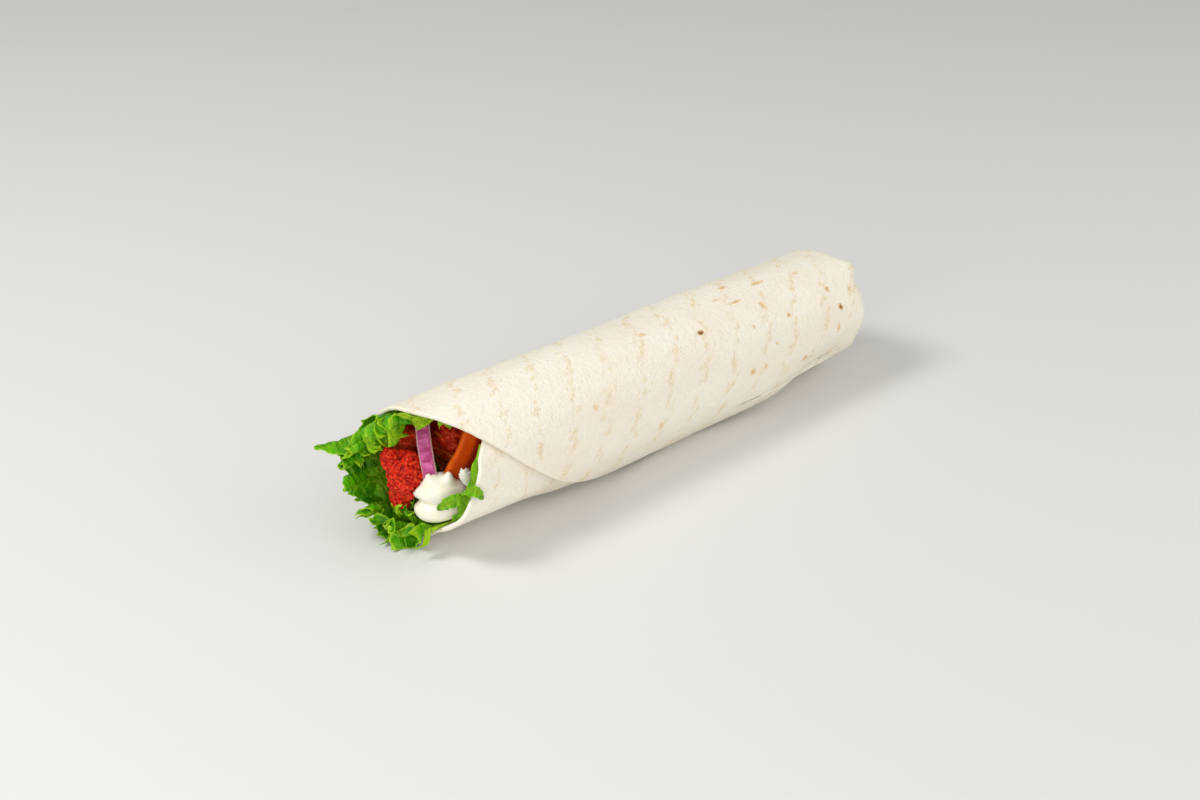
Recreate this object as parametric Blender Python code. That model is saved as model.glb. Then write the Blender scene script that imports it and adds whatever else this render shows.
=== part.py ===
"""A rolled flour tortilla wrap on its side, filled with spiced chicken, lettuce, onion, pepper and sauce.

Metres, +Z up. The roll lies along X with its open mouth towards -X and its tucked end towards +X.
Angles round the roll are in degrees: 0 is straight up, 90 points to the front (-Y), 180 straight down.
The tortilla is one round sheet. Its place on the roll is given by a turn, in degrees from the underside:
positive turns climb the back, cross the top and come down the front as the outer flap, and negative
turns climb the front inside that flap.
"""

import math

import bmesh
import bpy
import numpy as np
from mathutils import Matrix, Vector, noise

MM = 0.001

# Roll
ROLL_RADIUS = 27.5 * MM          # outside radius at the middle of the length
ROLL_TAPER = 0.0121              # radius lost for each metre towards the tucked end
SHEET = 1.8 * MM                 # thickness of the tortilla
LAYER_GAP = 0.4 * MM             # air between the two layers
ROUND_RADIUS = 152.5 * MM        # radius of the flat tortilla, a 12 inch round
ROUND_CENTRE = 44.4 * MM         # where its centre lies along the roll, on the outer flap's side
ROUND_SHIFT = 5.0 * MM           # how far that arc is shifted round the roll
ROUND_CENTRE_TIP = 36.9 * MM     # the centre near the flap's tip, where the arc isn't shifted
TIP_START, TIP_RUN = 122.0 * MM, 28.0 * MM
ROUND_CENTRE_INNER = 43.9 * MM   # the same for the inner flap, which was rolled askew
ROUND_CENTRE_TUCK = 22.0 * MM    # the same for the flap's edge near the tucked end
ASKEW = 40.0 * MM                # how far the inner flap's arc is shifted round the roll
RIM_BACK = -90.0 * MM            # the rim's furthest reach, at the back and underneath
BOTTOM_ANGLE = -175.0            # angle of turn 0
TURN_IN = -261.0                 # inner edge of the sheet
TURN_OUT = 333.0                 # outer edge of the sheet
TURN_STEP = 9.9
RIM_STEPS = (0.0, 1.5 * MM, 5.0 * MM, 12.0 * MM)    # mesh columns next to the rim
BODY_COLUMNS, BODY_CROWDING = 10, 1.2               # crowding above 1 is finer towards the mouth
NARROWEST = 14.0 * MM            # least length of the sheet at its side edges
CLIMB_START, CLIMB_END = -32.0, 60.0   # turns between which it climbs from the inner to the outer layer
SETTLE = 2.7 * MM                # how far the roll sinks, so that it lies on a flat strip

# Tucked end
END_FACE = 125.5 * MM            # the end face, at the middle of its slant
END_SLANT, END_SLANT_ANGLE = 2.8 * MM, 20.0
END_CORNER = 5.2 * MM            # radius of the folded corner
END_BULGE = 3.0 * MM
END_TUCK_OUTER, END_TUCK_INNER = 13.0 * MM, 8.0 * MM    # how near the axis each layer's folded edge comes
PLEATS, PLEAT_DEPTH = 7, 0.8 * MM
NUB_ANGLE, NUB_WIDTH, NUB_HEIGHT = 27.0, 15.0, 4.0 * MM
PLUG_START = 102.0 * MM
DRAW_START, DRAW_RUN = 72.0 * MM, 32.0 * MM   # the lower front is drawn in near the tucked end
DRAW_ANGLE, DRAW_WIDTH = 122.0, 60.0
DRAW_OUTER, DRAW_INNER = 4.6 * MM, 2.2 * MM
DRAW_EASE = 0.3                  # share of it that is given back at the very end
FLAP_CORNER = 288.0              # turn at which the outer flap's edge leaves the tucked end

# Mouth
LIP_ANGLE, LIP_WIDTH, LIP_DRAW = 145.0, 42.0, 4.2 * MM  # the single inner layer is drawn in low at the front
LIP_START, LIP_RUN = -26.0 * MM, 40.0 * MM
SPRING_TURN, SPRING_FADE = -68.0, 20.0   # at lower turns it springs out as far as the flap's outside
SPRING_START, SPRING_RUN = 7.0 * MM, 10.0 * MM   # where that starts outside the flap's edge, and its run
MOUTH_PRESS = 0.8 * MM           # how much narrower the mouth is than the taper gives

# Filling
LEAF = 0.7 * MM                  # thickness of a lettuce leaf
CLEAR = 0.3 * MM                 # gap between touching pieces
LINING = 2 * CLEAR + 1.5 * LEAF  # room for a leaf between the tortilla and the rest of the filling
FILLING_START, FILLING_END = -70.0 * MM, 99.0 * MM
LEAF_START = -58.0 * MM          # the lettuce's inner end
LEAF_ROWS, LEAF_INSIDE = 9, 4    # rows across the leaf, and how many steps of them lie inside the rim
PAST_RIM = 1.5 * MM              # how far outside the rim the leaf starts to flare
FLARE = 1.6                      # most that it flares for each metre outside
LEAF_MOST = 27.5 * MM            # how far from the axis the margin flares outside the mouth
RUFFLES = 12.0                   # ruffles in a radian of the margin
RUFFLE_START = 0.45              # share of the leaf that lies smooth
LEAF_LOBE, LEAF_POINT = 5.0 * MM, 3.0 * MM

# The origin lies under the middle of the whole wrap
ORIGIN_X, ORIGIN_Y = 8.7 * MM, -1.7 * MM

# Places below are in millimetres: along the roll, across it (positive to the back) and over its axis
SIGHT = (-0.57, -0.65, 0.5)
PEPPER_FACING = (-0.25, -0.85, 0.45)
BACK_REACH = ((4.0, -87.1 * MM), (-20.0, -92.1 * MM), (-45.0, -96.1 * MM), (-60.0, -105.1 * MM),
              (-80.0, -104.1 * MM), (-110.0, -102.1 * MM), (-140.0, -99.6 * MM))
BACK_RUFFLE = ((4.0, 3.5 * MM), (-20.0, 5.5 * MM), (-50.0, 5.5 * MM), (-75.0, 3.6 * MM), (-140.0, 3.6 * MM))
BACK_POINTS = ((-66.9, 7.8, 9.0 * MM), (-108.2, 7.2, 4.2 * MM), (-137.2, 7.3, 1.2 * MM))
UNDER_REACH = ((-141.2, -99.6 * MM), (-175.0, -97.6 * MM), (-200.0, -94.6 * MM), (-230.0, -89.6 * MM))
UNDER_RUFFLE = ((-141.2, 3.8 * MM), (-185.0, 5.0 * MM), (-230.0, 3.4 * MM))
UNDER_POINTS = ((-165.5, 8.5, 4.5 * MM), (-194.0, 10.9, 1.2 * MM))
ONION_PATH = ((-79.5, 8.0, 19.6), (-83.0, 1.6, 9.6), (-86.0, -5.2, -0.9), (-86.0, -6.5, -8.0))
PEPPER_PATH = ((-71.5, -13.0, 17.8), (-74.0, -11.5, 9.5), (-77.0, -8.6, 1.2), (-78.0, -8.0, -6.0))
FRONT_CHUNKS = (((-89.5, 4.7, -1.2), (7.2, 8.0, 9.8), 3, 3.0), ((-91.5, 6.4, -10.0), (4.4, 4.8, 5.0), 2, 1.0),
                ((-93.2, 9.2, 4.8), (3.8, 4.2, 4.6), 2, 5.0))
BACK_CHUNKS = (((-64.0, 8.0, 6.0), (11.0, 11.5, 10.5), 3, 1.0), ((-78.0, 16.0, 6.0), (7.5, 7.5, 8.0), 3, 2.0),
               ((-66.0, -9.0, 4.0), (8.0, 9.0, 11.0), 3, 4.0))
SAUCE_LOBES = (((-83.2, -6.7, -3.9), (10.4, 7.4, 5.0), 3, 6.0),
               ((-85.6, -8.8, -10.5), (9.2, 6.8, 4.9), 3, 7.0),
               ((-73.0, -6.0, -7.6), (11.0, 9.0, 7.0), 2, 8.0),
               ((-77.4, -14.5, 3.2), (3.0, 3.0, 4.0), 2, 9.0))
SPRIG_LEAFLETS = (
    (((-72.0, -18.4, 16.0), (-77.0, -21.4, 11.0), (-80.4, -23.0, 4.6), (-83.0, -23.0, -0.4),
      (-85.4, -21.4, -6.4), (-87.0, -19.2, -10.6)), 4.4, (-0.9, -0.4, 0.2), 0.4),
    (((-81.8, -20.6, 0.0), (-84.6, -24.4, 3.6), (-86.0, -28.0, 5.4), (-83.6, -31.0, 3.6),
      (-80.6, -30.4, -0.6)), 4.6, (-0.4, -0.4, 0.8), 0.6),
    (((-83.0, -22.0, 0.6), (-86.4, -21.8, 0.2), (-89.6, -19.0, -1.6), (-91.2, -15.6, -5.0)), 4.6,
     (-0.6, -0.5, 0.6), 0.6),
)


def smooth(t):
    t = np.clip(t, 0.0, 1.0)
    return t * t * (3.0 - 2.0 * t)


def bump(angle, middle, half_width):
    """1 at the middle angle, fading to 0 at half_width degrees to either side."""
    away = np.abs((angle - middle + 180.0) % 360.0 - 180.0)
    return np.cos(0.5 * math.pi * np.clip(away / half_width, 0.0, 1.0)) ** 2


# ---------------------------------------------------------------- the roll's form

def roll_radius(x):
    return ROLL_RADIUS - ROLL_TAPER * x


def axis_height(x):
    return roll_radius(x) - SETTLE


def envelope(angle, x):
    """Radius of the outer flap's outside, at an angle and a place along the roll."""
    a = np.radians(angle)
    uneven = 0.25 * MM * np.sin(2.0 * a + x / (34.0 * MM) + 0.6)
    uneven = uneven + 0.2 * MM * np.sin(3.0 * a - x / (19.0 * MM))
    mouth = MOUTH_PRESS * smooth((-55.0 * MM - x) / (35.0 * MM))
    pleat = 0.4 * PLEAT_DEPTH * np.cos(PLEATS * a + 0.6) * smooth((x - 100.0 * MM) / (20.0 * MM))
    return roll_radius(x) + uneven - mouth - DRAW_OUTER * drawn_in(angle, x) - pleat


def drawn_in(angle, x):
    """How much of the draw near the tucked end applies, from 0 to 1."""
    along = smooth((x - DRAW_START) / DRAW_RUN) * (1.0 - DRAW_EASE * smooth((x - 104.0 * MM) / (16.0 * MM)))
    return along * bump(angle, DRAW_ANGLE, DRAW_WIDTH)


def inner_share(turn):
    """1 on the inner layer, 0 on the outer one."""
    return 1.0 - smooth((turn - CLIMB_START) / (CLIMB_END - CLIMB_START))


def depth(turn, x):
    """How far the middle of the sheet lies inside the envelope."""
    angle = BOTTOM_ANGLE + turn
    share = inner_share(turn)
    lip = LIP_DRAW * smooth((LIP_START - x) / LIP_RUN) * bump(angle, LIP_ANGLE, LIP_WIDTH)
    outside = smooth((rim(turn + 360.0) - SPRING_START - x) / SPRING_RUN)
    lip -= (SHEET + LAYER_GAP) * outside * smooth((SPRING_TURN - turn) / SPRING_FADE)
    tuck = DRAW_INNER * drawn_in(angle, x)
    return SHEET / 2 + share * (SHEET + LAYER_GAP) + np.where(turn < 0.0, share * (lip + tuck), 0.0)


def end_face(angle):
    nub = NUB_HEIGHT * bump(angle, NUB_ANGLE, NUB_WIDTH)
    return END_FACE + END_SLANT * np.cos(np.radians(angle - END_SLANT_ANGLE)) + nub


def along_sheet(turn):
    """Length round the sheet from turn 0."""
    middle = ROLL_RADIUS - SHEET / 2 - inner_share(turn) * (SHEET + LAYER_GAP)
    return np.radians(turn) * middle


def arc_reach(s):
    return np.sqrt(np.maximum(ROUND_RADIUS ** 2 - s ** 2, 0.0))


def rim(turn):
    """Where the sheet's edge lies at the mouth."""
    s = along_sheet(turn)
    tip = smooth((s - TIP_START) / TIP_RUN)
    centre = ROUND_CENTRE + (ROUND_CENTRE_TIP - ROUND_CENTRE) * tip
    outer = centre - arc_reach(s - ROUND_SHIFT * (1.0 - tip))
    arcs = np.maximum(outer, ROUND_CENTRE_INNER - arc_reach(s - ASKEW))
    return np.maximum(arcs, RIM_BACK + 0.8 * MM * np.sin(s / (9.0 * MM)))


def sheet_end(turn):
    """Length coordinate at which the sheet ends towards the tucked end, before it is folded in."""
    s = along_sheet(turn)
    outer_edge = np.where(turn > FLAP_CORNER, ROUND_CENTRE_TUCK + arc_reach(s), 1.0)
    round_edge = np.where(turn > 0.0, outer_edge, ROUND_CENTRE_INNER + arc_reach(s - ASKEW))
    tuck = END_TUCK_OUTER + (END_TUCK_INNER - END_TUCK_OUTER) * inner_share(turn)
    folded = knee_length(turn) + (roll_radius(END_FACE) - END_CORNER - tuck)
    return np.minimum(round_edge, end_face(BOTTOM_ANGLE + turn) - END_CORNER + folded)


def knee_length(turn):
    """Length of the folded corner along the middle of the sheet."""
    return 0.5 * math.pi * (END_CORNER - depth(turn, END_FACE - END_CORNER))


def sheet_point(turn, length):
    """Middle of the sheet: straight along the roll, round the folded corner and into the end face."""
    angle = BOTTOM_ANGLE + turn
    knee = end_face(angle) - END_CORNER
    d_knee = float(depth(turn, knee))
    if length <= knee:
        x, radius = length, float(envelope(angle, length) - depth(turn, length))
    else:
        bend = max(END_CORNER - d_knee, 0.8 * MM)
        centre = float(envelope(angle, knee)) - d_knee - bend
        swing = min((length - knee) / bend, 0.5 * math.pi)
        inward = max(length - knee - bend * 0.5 * math.pi, 0.0)
        x = knee + bend * math.sin(swing)
        radius = centre + bend * math.cos(swing) - inward
        share = smooth(1.0 - radius / (roll_radius(END_FACE) - 2 * MM))
        a = math.radians(angle)
        x += END_BULGE * share + PLEAT_DEPTH * share * math.cos(PLEATS * a + 0.6)
    return on_roll(angle, x, radius)


def on_roll(angle, x, radius):
    a = math.radians(angle)
    return Vector((x, -radius * math.sin(a), axis_height(x) + radius * math.cos(a)))


def floor_clearance(turn):
    """Lowest height of the middle of the sheet: the inner layer stays above the flap under it."""
    covered = 1.0 - smooth((turn + 24.0) / 16.0)
    return SHEET / 2 + float(covered) * (SHEET + LAYER_GAP) * (turn < 0.0)


def turns_at(angle):
    """The turns of the layers that lie at an angle, the innermost last."""
    outer = (angle - BOTTOM_ANGLE) % 360.0
    return [turn for turn in (outer, outer - 360.0) if TURN_IN <= turn <= TURN_OUT]


def inner_wall(angle, x):
    """Radius of the tortilla's inside at an angle, growing outside the mouth as a wide cone."""
    radii = []
    for turn in turns_at(angle):
        edge = float(rim(turn))
        outside = max(edge - PAST_RIM - x, 0.0)
        radii.append(float(envelope(angle, x) - depth(turn, max(x, edge))) - SHEET / 2 + FLARE * outside)
    return min(radii)


def floor_level(angle, x):
    """Lowest height for the filling, over the layers of tortilla that lie under it."""
    covering = [turn for turn in turns_at(angle) if x > float(rim(turn)) - 2 * PAST_RIM]
    if not covering:
        return 0.0
    return max(floor_clearance(turn) for turn in covering) + SHEET / 2


# ---------------------------------------------------------------- mesh helpers

def material(name, colour, roughness):
    made = bpy.data.materials.new(name)
    made.use_nodes = True
    shader = made.node_tree.nodes["Principled BSDF"]
    shader.inputs["Base Color"].default_value = (*colour, 1.0)
    shader.inputs["Roughness"].default_value = roughness
    shader.inputs["Metallic"].default_value = 0.0
    return made


def new_object(name, bm, made_of):
    mesh = bpy.data.meshes.new(name)
    bm.to_mesh(mesh)
    bm.free()
    mesh.materials.append(made_of)
    mesh.shade_smooth()
    obj = bpy.data.objects.new(name, mesh)
    bpy.context.collection.objects.link(obj)
    return obj


def grid_normals(grid):
    rows, columns = len(grid), len(grid[0])
    normals = []
    for i in range(rows):
        line = []
        for j in range(columns):
            along = grid[min(i + 1, rows - 1)][j] - grid[max(i - 1, 0)][j]
            across = grid[i][min(j + 1, columns - 1)] - grid[i][max(j - 1, 0)]
            line.append(along.cross(across).normalized())
        normals.append(line)
    return normals


def sheet_faces(grid, normals, thickness):
    """A thin closed solid round a grid of middle points, both faces split into triangles alike."""
    rows, columns = len(grid), len(grid[0])
    bm = bmesh.new()
    sides = []
    for sign in (1.0, -1.0):
        sides.append([[bm.verts.new(grid[i][j] + normals[i][j] * (sign * 0.5 * thickness(i, j)))
                       for j in range(columns)] for i in range(rows)])
    top, bottom = sides
    for i in range(rows - 1):
        for j in range(columns - 1):
            corners = ((i, j), (i + 1, j), (i + 1, j + 1), (i, j + 1))
            for picked in ((0, 1, 2), (0, 2, 3)):
                bm.faces.new([top[corners[k][0]][corners[k][1]] for k in picked])
                bm.faces.new([bottom[corners[k][0]][corners[k][1]] for k in reversed(picked)])
    edge = [(i, 0) for i in range(rows)]
    edge += [(rows - 1, j) for j in range(1, columns)]
    edge += [(i, columns - 1) for i in range(rows - 2, -1, -1)]
    edge += [(0, j) for j in range(columns - 2, 0, -1)]
    for k, (i, j) in enumerate(edge):
        n, m = edge[(k + 1) % len(edge)]
        bm.faces.new((top[n][m], top[i][j], bottom[i][j]))
        bm.faces.new((top[n][m], bottom[i][j], bottom[n][m]))
    bmesh.ops.recalc_face_normals(bm, faces=bm.faces)
    return bm, sides


def join(name, parts, made_of):
    """One solid from several that overlap."""
    group = bpy.data.collections.new(name + "_parts")
    first = parts[0]
    for other in parts[1:]:
        group.objects.link(other)
    union = first.modifiers.new("union", "BOOLEAN")
    union.operation = "UNION"
    union.operand_type = "COLLECTION"
    union.collection = group
    union.solver = "MANIFOLD"
    return applied(name, first, parts, group, made_of)


def cut(name, target, cutter, made_of):
    """The target less the cutter, which is removed."""
    away = target.modifiers.new("cut", "BOOLEAN")
    away.operation = "DIFFERENCE"
    away.object = cutter
    away.solver = "MANIFOLD"
    return applied(name, target, [target, cutter], None, made_of)


def applied(name, first, used, group, made_of):
    bpy.context.view_layer.update()
    evaluated = first.evaluated_get(bpy.context.evaluated_depsgraph_get())
    bm = bmesh.new()
    bm.from_mesh(evaluated.to_mesh())
    evaluated.to_mesh_clear()
    bmesh.ops.dissolve_degenerate(bm, dist=1e-7, edges=bm.edges)
    bmesh.ops.triangulate(bm, faces=bm.faces)
    keep_largest(bm)
    for obj in used:
        bpy.data.objects.remove(obj)
    if group:
        bpy.data.collections.remove(group)
    return new_object(name, bm, made_of)


def keep_largest(bm):
    """Drops loose scraps and sealed hollows that a Boolean leaves."""
    bodies, seen = [], set()
    for start in bm.verts:
        if start in seen:
            continue
        body, queue = [], [start]
        seen.add(start)
        while queue:
            vert = queue.pop()
            body.append(vert)
            for link in vert.link_edges:
                other = link.other_vert(vert)
                if other not in seen:
                    seen.add(other)
                    queue.append(other)
        bodies.append(body)
    bodies.sort(key=len)
    for body in bodies[:-1]:
        bmesh.ops.delete(bm, geom=body, context="VERTS")


def swollen(source, gap):
    """A copy of a solid grown by the gap, to cut its neighbour with."""
    bm = bmesh.new()
    bm.from_mesh(source.data)
    bm.normal_update()
    for vert, place in [(v, v.co + v.normal * gap) for v in bm.verts]:
        vert.co = place
    return new_object("cutter", bm, source.data.materials[0])


# ---------------------------------------------------------------- tortilla

def tortilla(made_of):
    turns = np.arange(TURN_IN, TURN_OUT + 0.1, TURN_STEP)
    grid = []
    for turn in turns:
        start, end = float(rim(turn)), float(sheet_end(turn))
        angle = BOTTOM_ANGLE + turn
        knee = float(end_face(angle)) - END_CORNER
        bend = float(knee_length(turn))
        full_end = knee + bend + float(roll_radius(END_FACE) - END_CORNER - END_TUCK_OUTER
                                       + (END_TUCK_OUTER - END_TUCK_INNER) * inner_share(turn))
        tail = [knee, knee + bend / 3, knee + bend * 2 / 3, knee + bend]
        tail += [0.5 * (tail[-1] + full_end), full_end]
        end = max(end, start + NARROWEST)
        places = [start + step for step in RIM_STEPS]
        shares = np.linspace(0.0, 1.0, BODY_COLUMNS + 1)[1:-1] ** BODY_CROWDING
        places += [places[-1] + (knee - places[-1]) * share for share in shares] + tail
        squeeze = (end - start) / (full_end - start)
        line = []
        for place in places:
            point = sheet_point(float(turn), start + (place - start) * squeeze)
            point.z = max(point.z, floor_clearance(turn))
            line.append(point)
        grid.append(line)
    normals = grid_normals(grid)
    columns, rows = len(grid[0]), len(grid)

    def thickness(i, j):
        from_edge = min(j, columns - 1 - j, i, rows - 1 - i)
        return SHEET * (0.62 if from_edge == 0 else 1.0)

    bm, sides = sheet_faces(grid, normals, thickness)
    for side in sides:
        for i in range(rows):
            for j in range(columns):
                if grid[i][j].z < SHEET / 2 + 1e-6 and side[i][j].co.z < SHEET / 2:
                    side[i][j].co.z = 0.0
    for vert in bm.verts:
        vert.co.z = max(vert.co.z, 0.0)
    wall = new_object("wall", bm, made_of)
    return join("tortilla", [wall, end_plug(made_of)], made_of)


def end_plug(made_of):
    """The folded-in rest of the sheet, which closes the end between the layers' folded edges."""
    bm = bmesh.new()
    angles = np.arange(0.0, 360.0, TURN_STEP)

    def ring(x, radius):
        """A ring of points on the inner layer. x and radius give its place from (angle, turn, knee)."""
        verts = []
        for angle in angles:
            turn = turns_at(angle)[-1]
            knee = float(end_face(angle)) - END_CORNER
            point = on_roll(angle, x(angle, knee), radius(angle, turn, knee))
            point.z = max(point.z, floor_clearance(turn))
            verts.append(bm.verts.new(point))
        return verts

    def wall_radius(angle, turn, x):
        return float(envelope(angle, x) - depth(turn, x))

    def face(share, forward):
        """A ring in the end face, at a share of its radius."""
        def x(angle, knee):
            fold = 3.0 * PLEAT_DEPTH * share * (1.0 - share) * math.cos(PLEATS * math.radians(angle) + 0.6)
            return knee + END_CORNER - 1.5 * SHEET - LAYER_GAP + forward + fold
        return ring(x, lambda angle, turn, knee: (float(envelope(angle, knee)) - END_CORNER) * share)

    rings = [ring(lambda angle, knee: PLUG_START,
                  lambda angle, turn, knee: wall_radius(angle, turn, PLUG_START)),
             ring(lambda angle, knee: knee, wall_radius),
             face(1.0, 0.0), face(0.7, 0.6 * MM), face(0.35, 1.6 * MM)]
    count = len(angles)
    for low, high in zip(rings, rings[1:]):
        for k in range(count):
            n = (k + 1) % count
            bm.faces.new((low[k], low[n], high[n]))
            bm.faces.new((low[k], high[n], high[k]))
    for verts, x in ((rings[0], PLUG_START), (rings[-1], END_FACE - 1.0 * MM)):
        middle = bm.verts.new(Vector((x, 0.0, axis_height(x))))
        for k in range(count):
            bm.faces.new((verts[k], verts[(k + 1) % count], middle))
    bmesh.ops.recalc_face_normals(bm, faces=bm.faces)
    return new_object("plug", bm, made_of)


# ---------------------------------------------------------------- filling

def frilly_leaf(name, first, last, columns, reach, ruffle, points, phase, made_of):
    """A lettuce leaf lining the tortilla, whose ruffled margin comes out of the mouth.

    first and last are its angles. reach and ruffle are (angle, length) pairs, for the margin's place
    along the roll and for how deep it is ruffled. points are its longest tips: angle, half width, length.
    """
    grid = []
    for angle in np.linspace(first, last, columns):
        a = math.radians(angle)
        wave = RUFFLES * a + phase + 0.9 * math.sin(2.3 * a + phase)
        margin = between(angle, reach) - sum(length * bump(angle, at, wide) for at, wide, length in points)
        deep = between(angle, ruffle)
        lobe = (0.5 + 0.5 * math.cos(0.93 * wave + 0.4)) ** 2
        point = (0.5 + 0.5 * math.cos(2.7 * wave + 1.0)) ** 3
        edge = min(float(rim(turn)) for turn in turns_at(angle)) - PAST_RIM
        line = []
        for j in range(LEAF_ROWS):
            if j <= LEAF_INSIDE:
                x, out = LEAF_START + (edge - LEAF_START) * j / LEAF_INSIDE, 0.0
            else:
                out = (j - LEAF_INSIDE) / (LEAF_ROWS - 1 - LEAF_INSIDE)
                x = edge + (margin - edge) * out
            t = (x - LEAF_START) / (margin - LEAF_START)
            grow = float(smooth((t - RUFFLE_START) / (1.0 - RUFFLE_START)))
            x -= out * (LEAF_LOBE * (lobe - 0.4) + LEAF_POINT * point * float(out > 0.99))
            x += out * 0.3 * deep * math.cos(1.6 * wave + 1.0)
            fold = wave + 1.1 * (1.0 - t)
            radius = ROLL_RADIUS - grow * deep * (0.9 - math.sin(fold) + 0.2 * math.sin(2.7 * fold))
            radius = min(radius, inner_wall(angle, x) - CLEAR - LEAF, LEAF_MOST)
            place = on_roll(angle, x, radius)
            place.z = max(place.z, floor_level(angle, x) + CLEAR + LEAF)
            line.append(place)
        grid.append(line)

    def thickness(_i, j):
        return LEAF * (0.7 if j == LEAF_ROWS - 1 else 1.0)

    bm, _ = sheet_faces(grid, grid_normals(grid), thickness)
    return new_object(name, bm, made_of)


def between(angle, pairs):
    """Straight interpolation in (angle, value) pairs, whose angles run downwards."""
    return float(np.interp(-angle, [-a for a, _ in pairs], [value for _, value in pairs]))


def curve_points(points, count):
    """Points along a smooth curve through the given ones."""
    given = [Vector(p) for p in points]
    ends = [given[0] * 2 - given[1]] + given + [given[-1] * 2 - given[-2]]
    out = []
    for k in range(count):
        t = k / (count - 1) * (len(given) - 1)
        n = min(int(t), len(given) - 2)
        f = t - n
        a, b, c, d = ends[n:n + 4]
        out.append(0.5 * (2 * b + (c - a) * f + (2 * a - 5 * b + 4 * c - d) * f * f
                          + (3 * b - a - 3 * c + d) * f ** 3))
    return out


def blade(name, points, width, facing, made_of, count=9, curl=0.0):
    """A leaflet along a path, widest at its middle and pointed at its end."""
    spine = curve_points(points, count)
    grid = []
    for k, place in enumerate(spine):
        t = k / (count - 1)
        ahead = spine[min(k + 1, count - 1)] - spine[max(k - 1, 0)]
        side = ahead.cross(Vector(facing)).normalized()
        up = side.cross(ahead).normalized()
        half = 0.5 * width * (0.18 + 0.82 * math.sin(math.pi * min(0.12 + 0.86 * t, 1.0)))
        half *= 1.0 + 0.22 * math.sin(9.0 * t * math.pi)
        grid.append([place + side * half * v - up * curl * v * v for v in (-1.0, -0.4, 0.4, 1.0)])
    bm, _ = sheet_faces(grid, grid_normals(grid), lambda i, j: LEAF)
    return new_object(name, bm, made_of)


def strip(name, points, width, thick, facing, made_of, count=12):
    """A cut strip of vegetable with rounded edges."""
    spine = curve_points(points, count)
    bm = bmesh.new()
    rings = []
    for k, place in enumerate(spine):
        ahead = (spine[min(k + 1, count - 1)] - spine[max(k - 1, 0)]).normalized()
        side = ahead.cross(Vector(facing)).normalized()
        up = side.cross(ahead).normalized()
        slim = 0.8 if k in (0, count - 1) else 1.0
        ring = []
        for a in (18.0, 72.0, 108.0, 162.0, 198.0, 252.0, 288.0, 342.0):
            c, s = math.cos(math.radians(a)), math.sin(math.radians(a))
            ring.append(bm.verts.new(place + side * (c * 0.5 * width * slim) + up * (s * 0.5 * thick * slim)))
        rings.append(ring)
    for low, high in zip(rings, rings[1:]):
        for k in range(8):
            n = (k + 1) % 8
            bm.faces.new((low[k], low[n], high[n]))
            bm.faces.new((low[k], high[n], high[k]))
    bm.faces.new(rings[0])
    bm.faces.new(rings[-1])
    bmesh.ops.recalc_face_normals(bm, faces=bm.faces)
    bmesh.ops.triangulate(bm, faces=bm.faces)
    return new_object(name, bm, made_of)


def lump(name, centre, radii, detail, rough, seed, made_of, turned=0.0):
    """An uneven rounded chunk. Turned swings its first radius towards the front, in degrees."""
    bm = bmesh.new()
    bmesh.ops.create_icosphere(bm, subdivisions=detail, radius=1.0)
    c, s = math.cos(math.radians(turned)), math.sin(math.radians(turned))
    middle = Vector((centre[0], centre[1], centre[2] + axis_height(centre[0])))
    for vert in bm.verts:
        d = vert.co.normalized()
        grow = 1.0 + rough * noise.noise(d * 2.2 + Vector((seed, 0.0, 0.0)))
        grow += 0.5 * rough * noise.noise(d * 5.0 + Vector((0.0, seed, 0.0)))
        p = Vector((d.x * radii[0], d.y * radii[1], d.z * radii[2])) * grow
        vert.co = middle + Vector((p.x * c + p.y * s, -p.x * s + p.y * c, p.z))
    return new_object(name, bm, made_of)


def inside_wall(obj, spare):
    """Keeps a filling's points inside the tortilla, with some room to spare."""
    for vert in obj.data.vertices:
        x, y = vert.co.x, vert.co.y
        h = vert.co.z - axis_height(x)
        radius, angle = math.hypot(y, h), math.degrees(math.atan2(-y, h))
        most = inner_wall(angle, x) - spare
        if radius > most:
            place = on_roll(angle, x, most)
            vert.co.y, vert.co.z = place.y, place.z
        vert.co.z = max(vert.co.z, floor_level(angle, x) + spare)


def filling_core(made_of):
    """The packed chicken that runs through the roll, with uneven sides and rounded ends."""
    rings, sides = 14, 24
    bm = bmesh.new()
    rows = []
    for k in range(rings):
        t = k / (rings - 1)
        x = FILLING_START + (FILLING_END - FILLING_START) * (0.5 - 0.5 * math.cos(math.pi * t))
        close = math.sqrt(max(1.0 - abs(2.0 * t - 1.0) ** 7, 0.0))
        row = []
        for n in range(sides):
            angle = 360.0 * n / sides
            a = math.radians(angle)
            wave = noise.noise(Vector((x * 60.0, 2.0 * math.cos(a), 2.0 * math.sin(a))))
            radius = min(inner_wall(angle, x) - LINING, 23.0 * MM + 2.0 * MM * wave) * max(close, 0.25)
            point = on_roll(angle, x, radius)
            point.z = max(point.z, floor_level(angle, x) + LINING)
            row.append(bm.verts.new(point))
        rows.append(row)
    for low, high in zip(rows, rows[1:]):
        for k in range(sides):
            n = (k + 1) % sides
            bm.faces.new((low[k], low[n], high[n]))
            bm.faces.new((low[k], high[n], high[k]))
    for row in (rows[0], rows[-1]):
        middle = sum((v.co for v in row), Vector()) / sides
        tip = bm.verts.new(middle)
        for k in range(sides):
            bm.faces.new((row[k], row[(k + 1) % sides], tip))
    bmesh.ops.recalc_face_normals(bm, faces=bm.faces)
    return new_object("core", bm, made_of)


def height_point(x, y, h):
    """A point from its height over the roll's axis, in millimetres."""
    return (x * MM, y * MM, h * MM + axis_height(x * MM))


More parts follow.
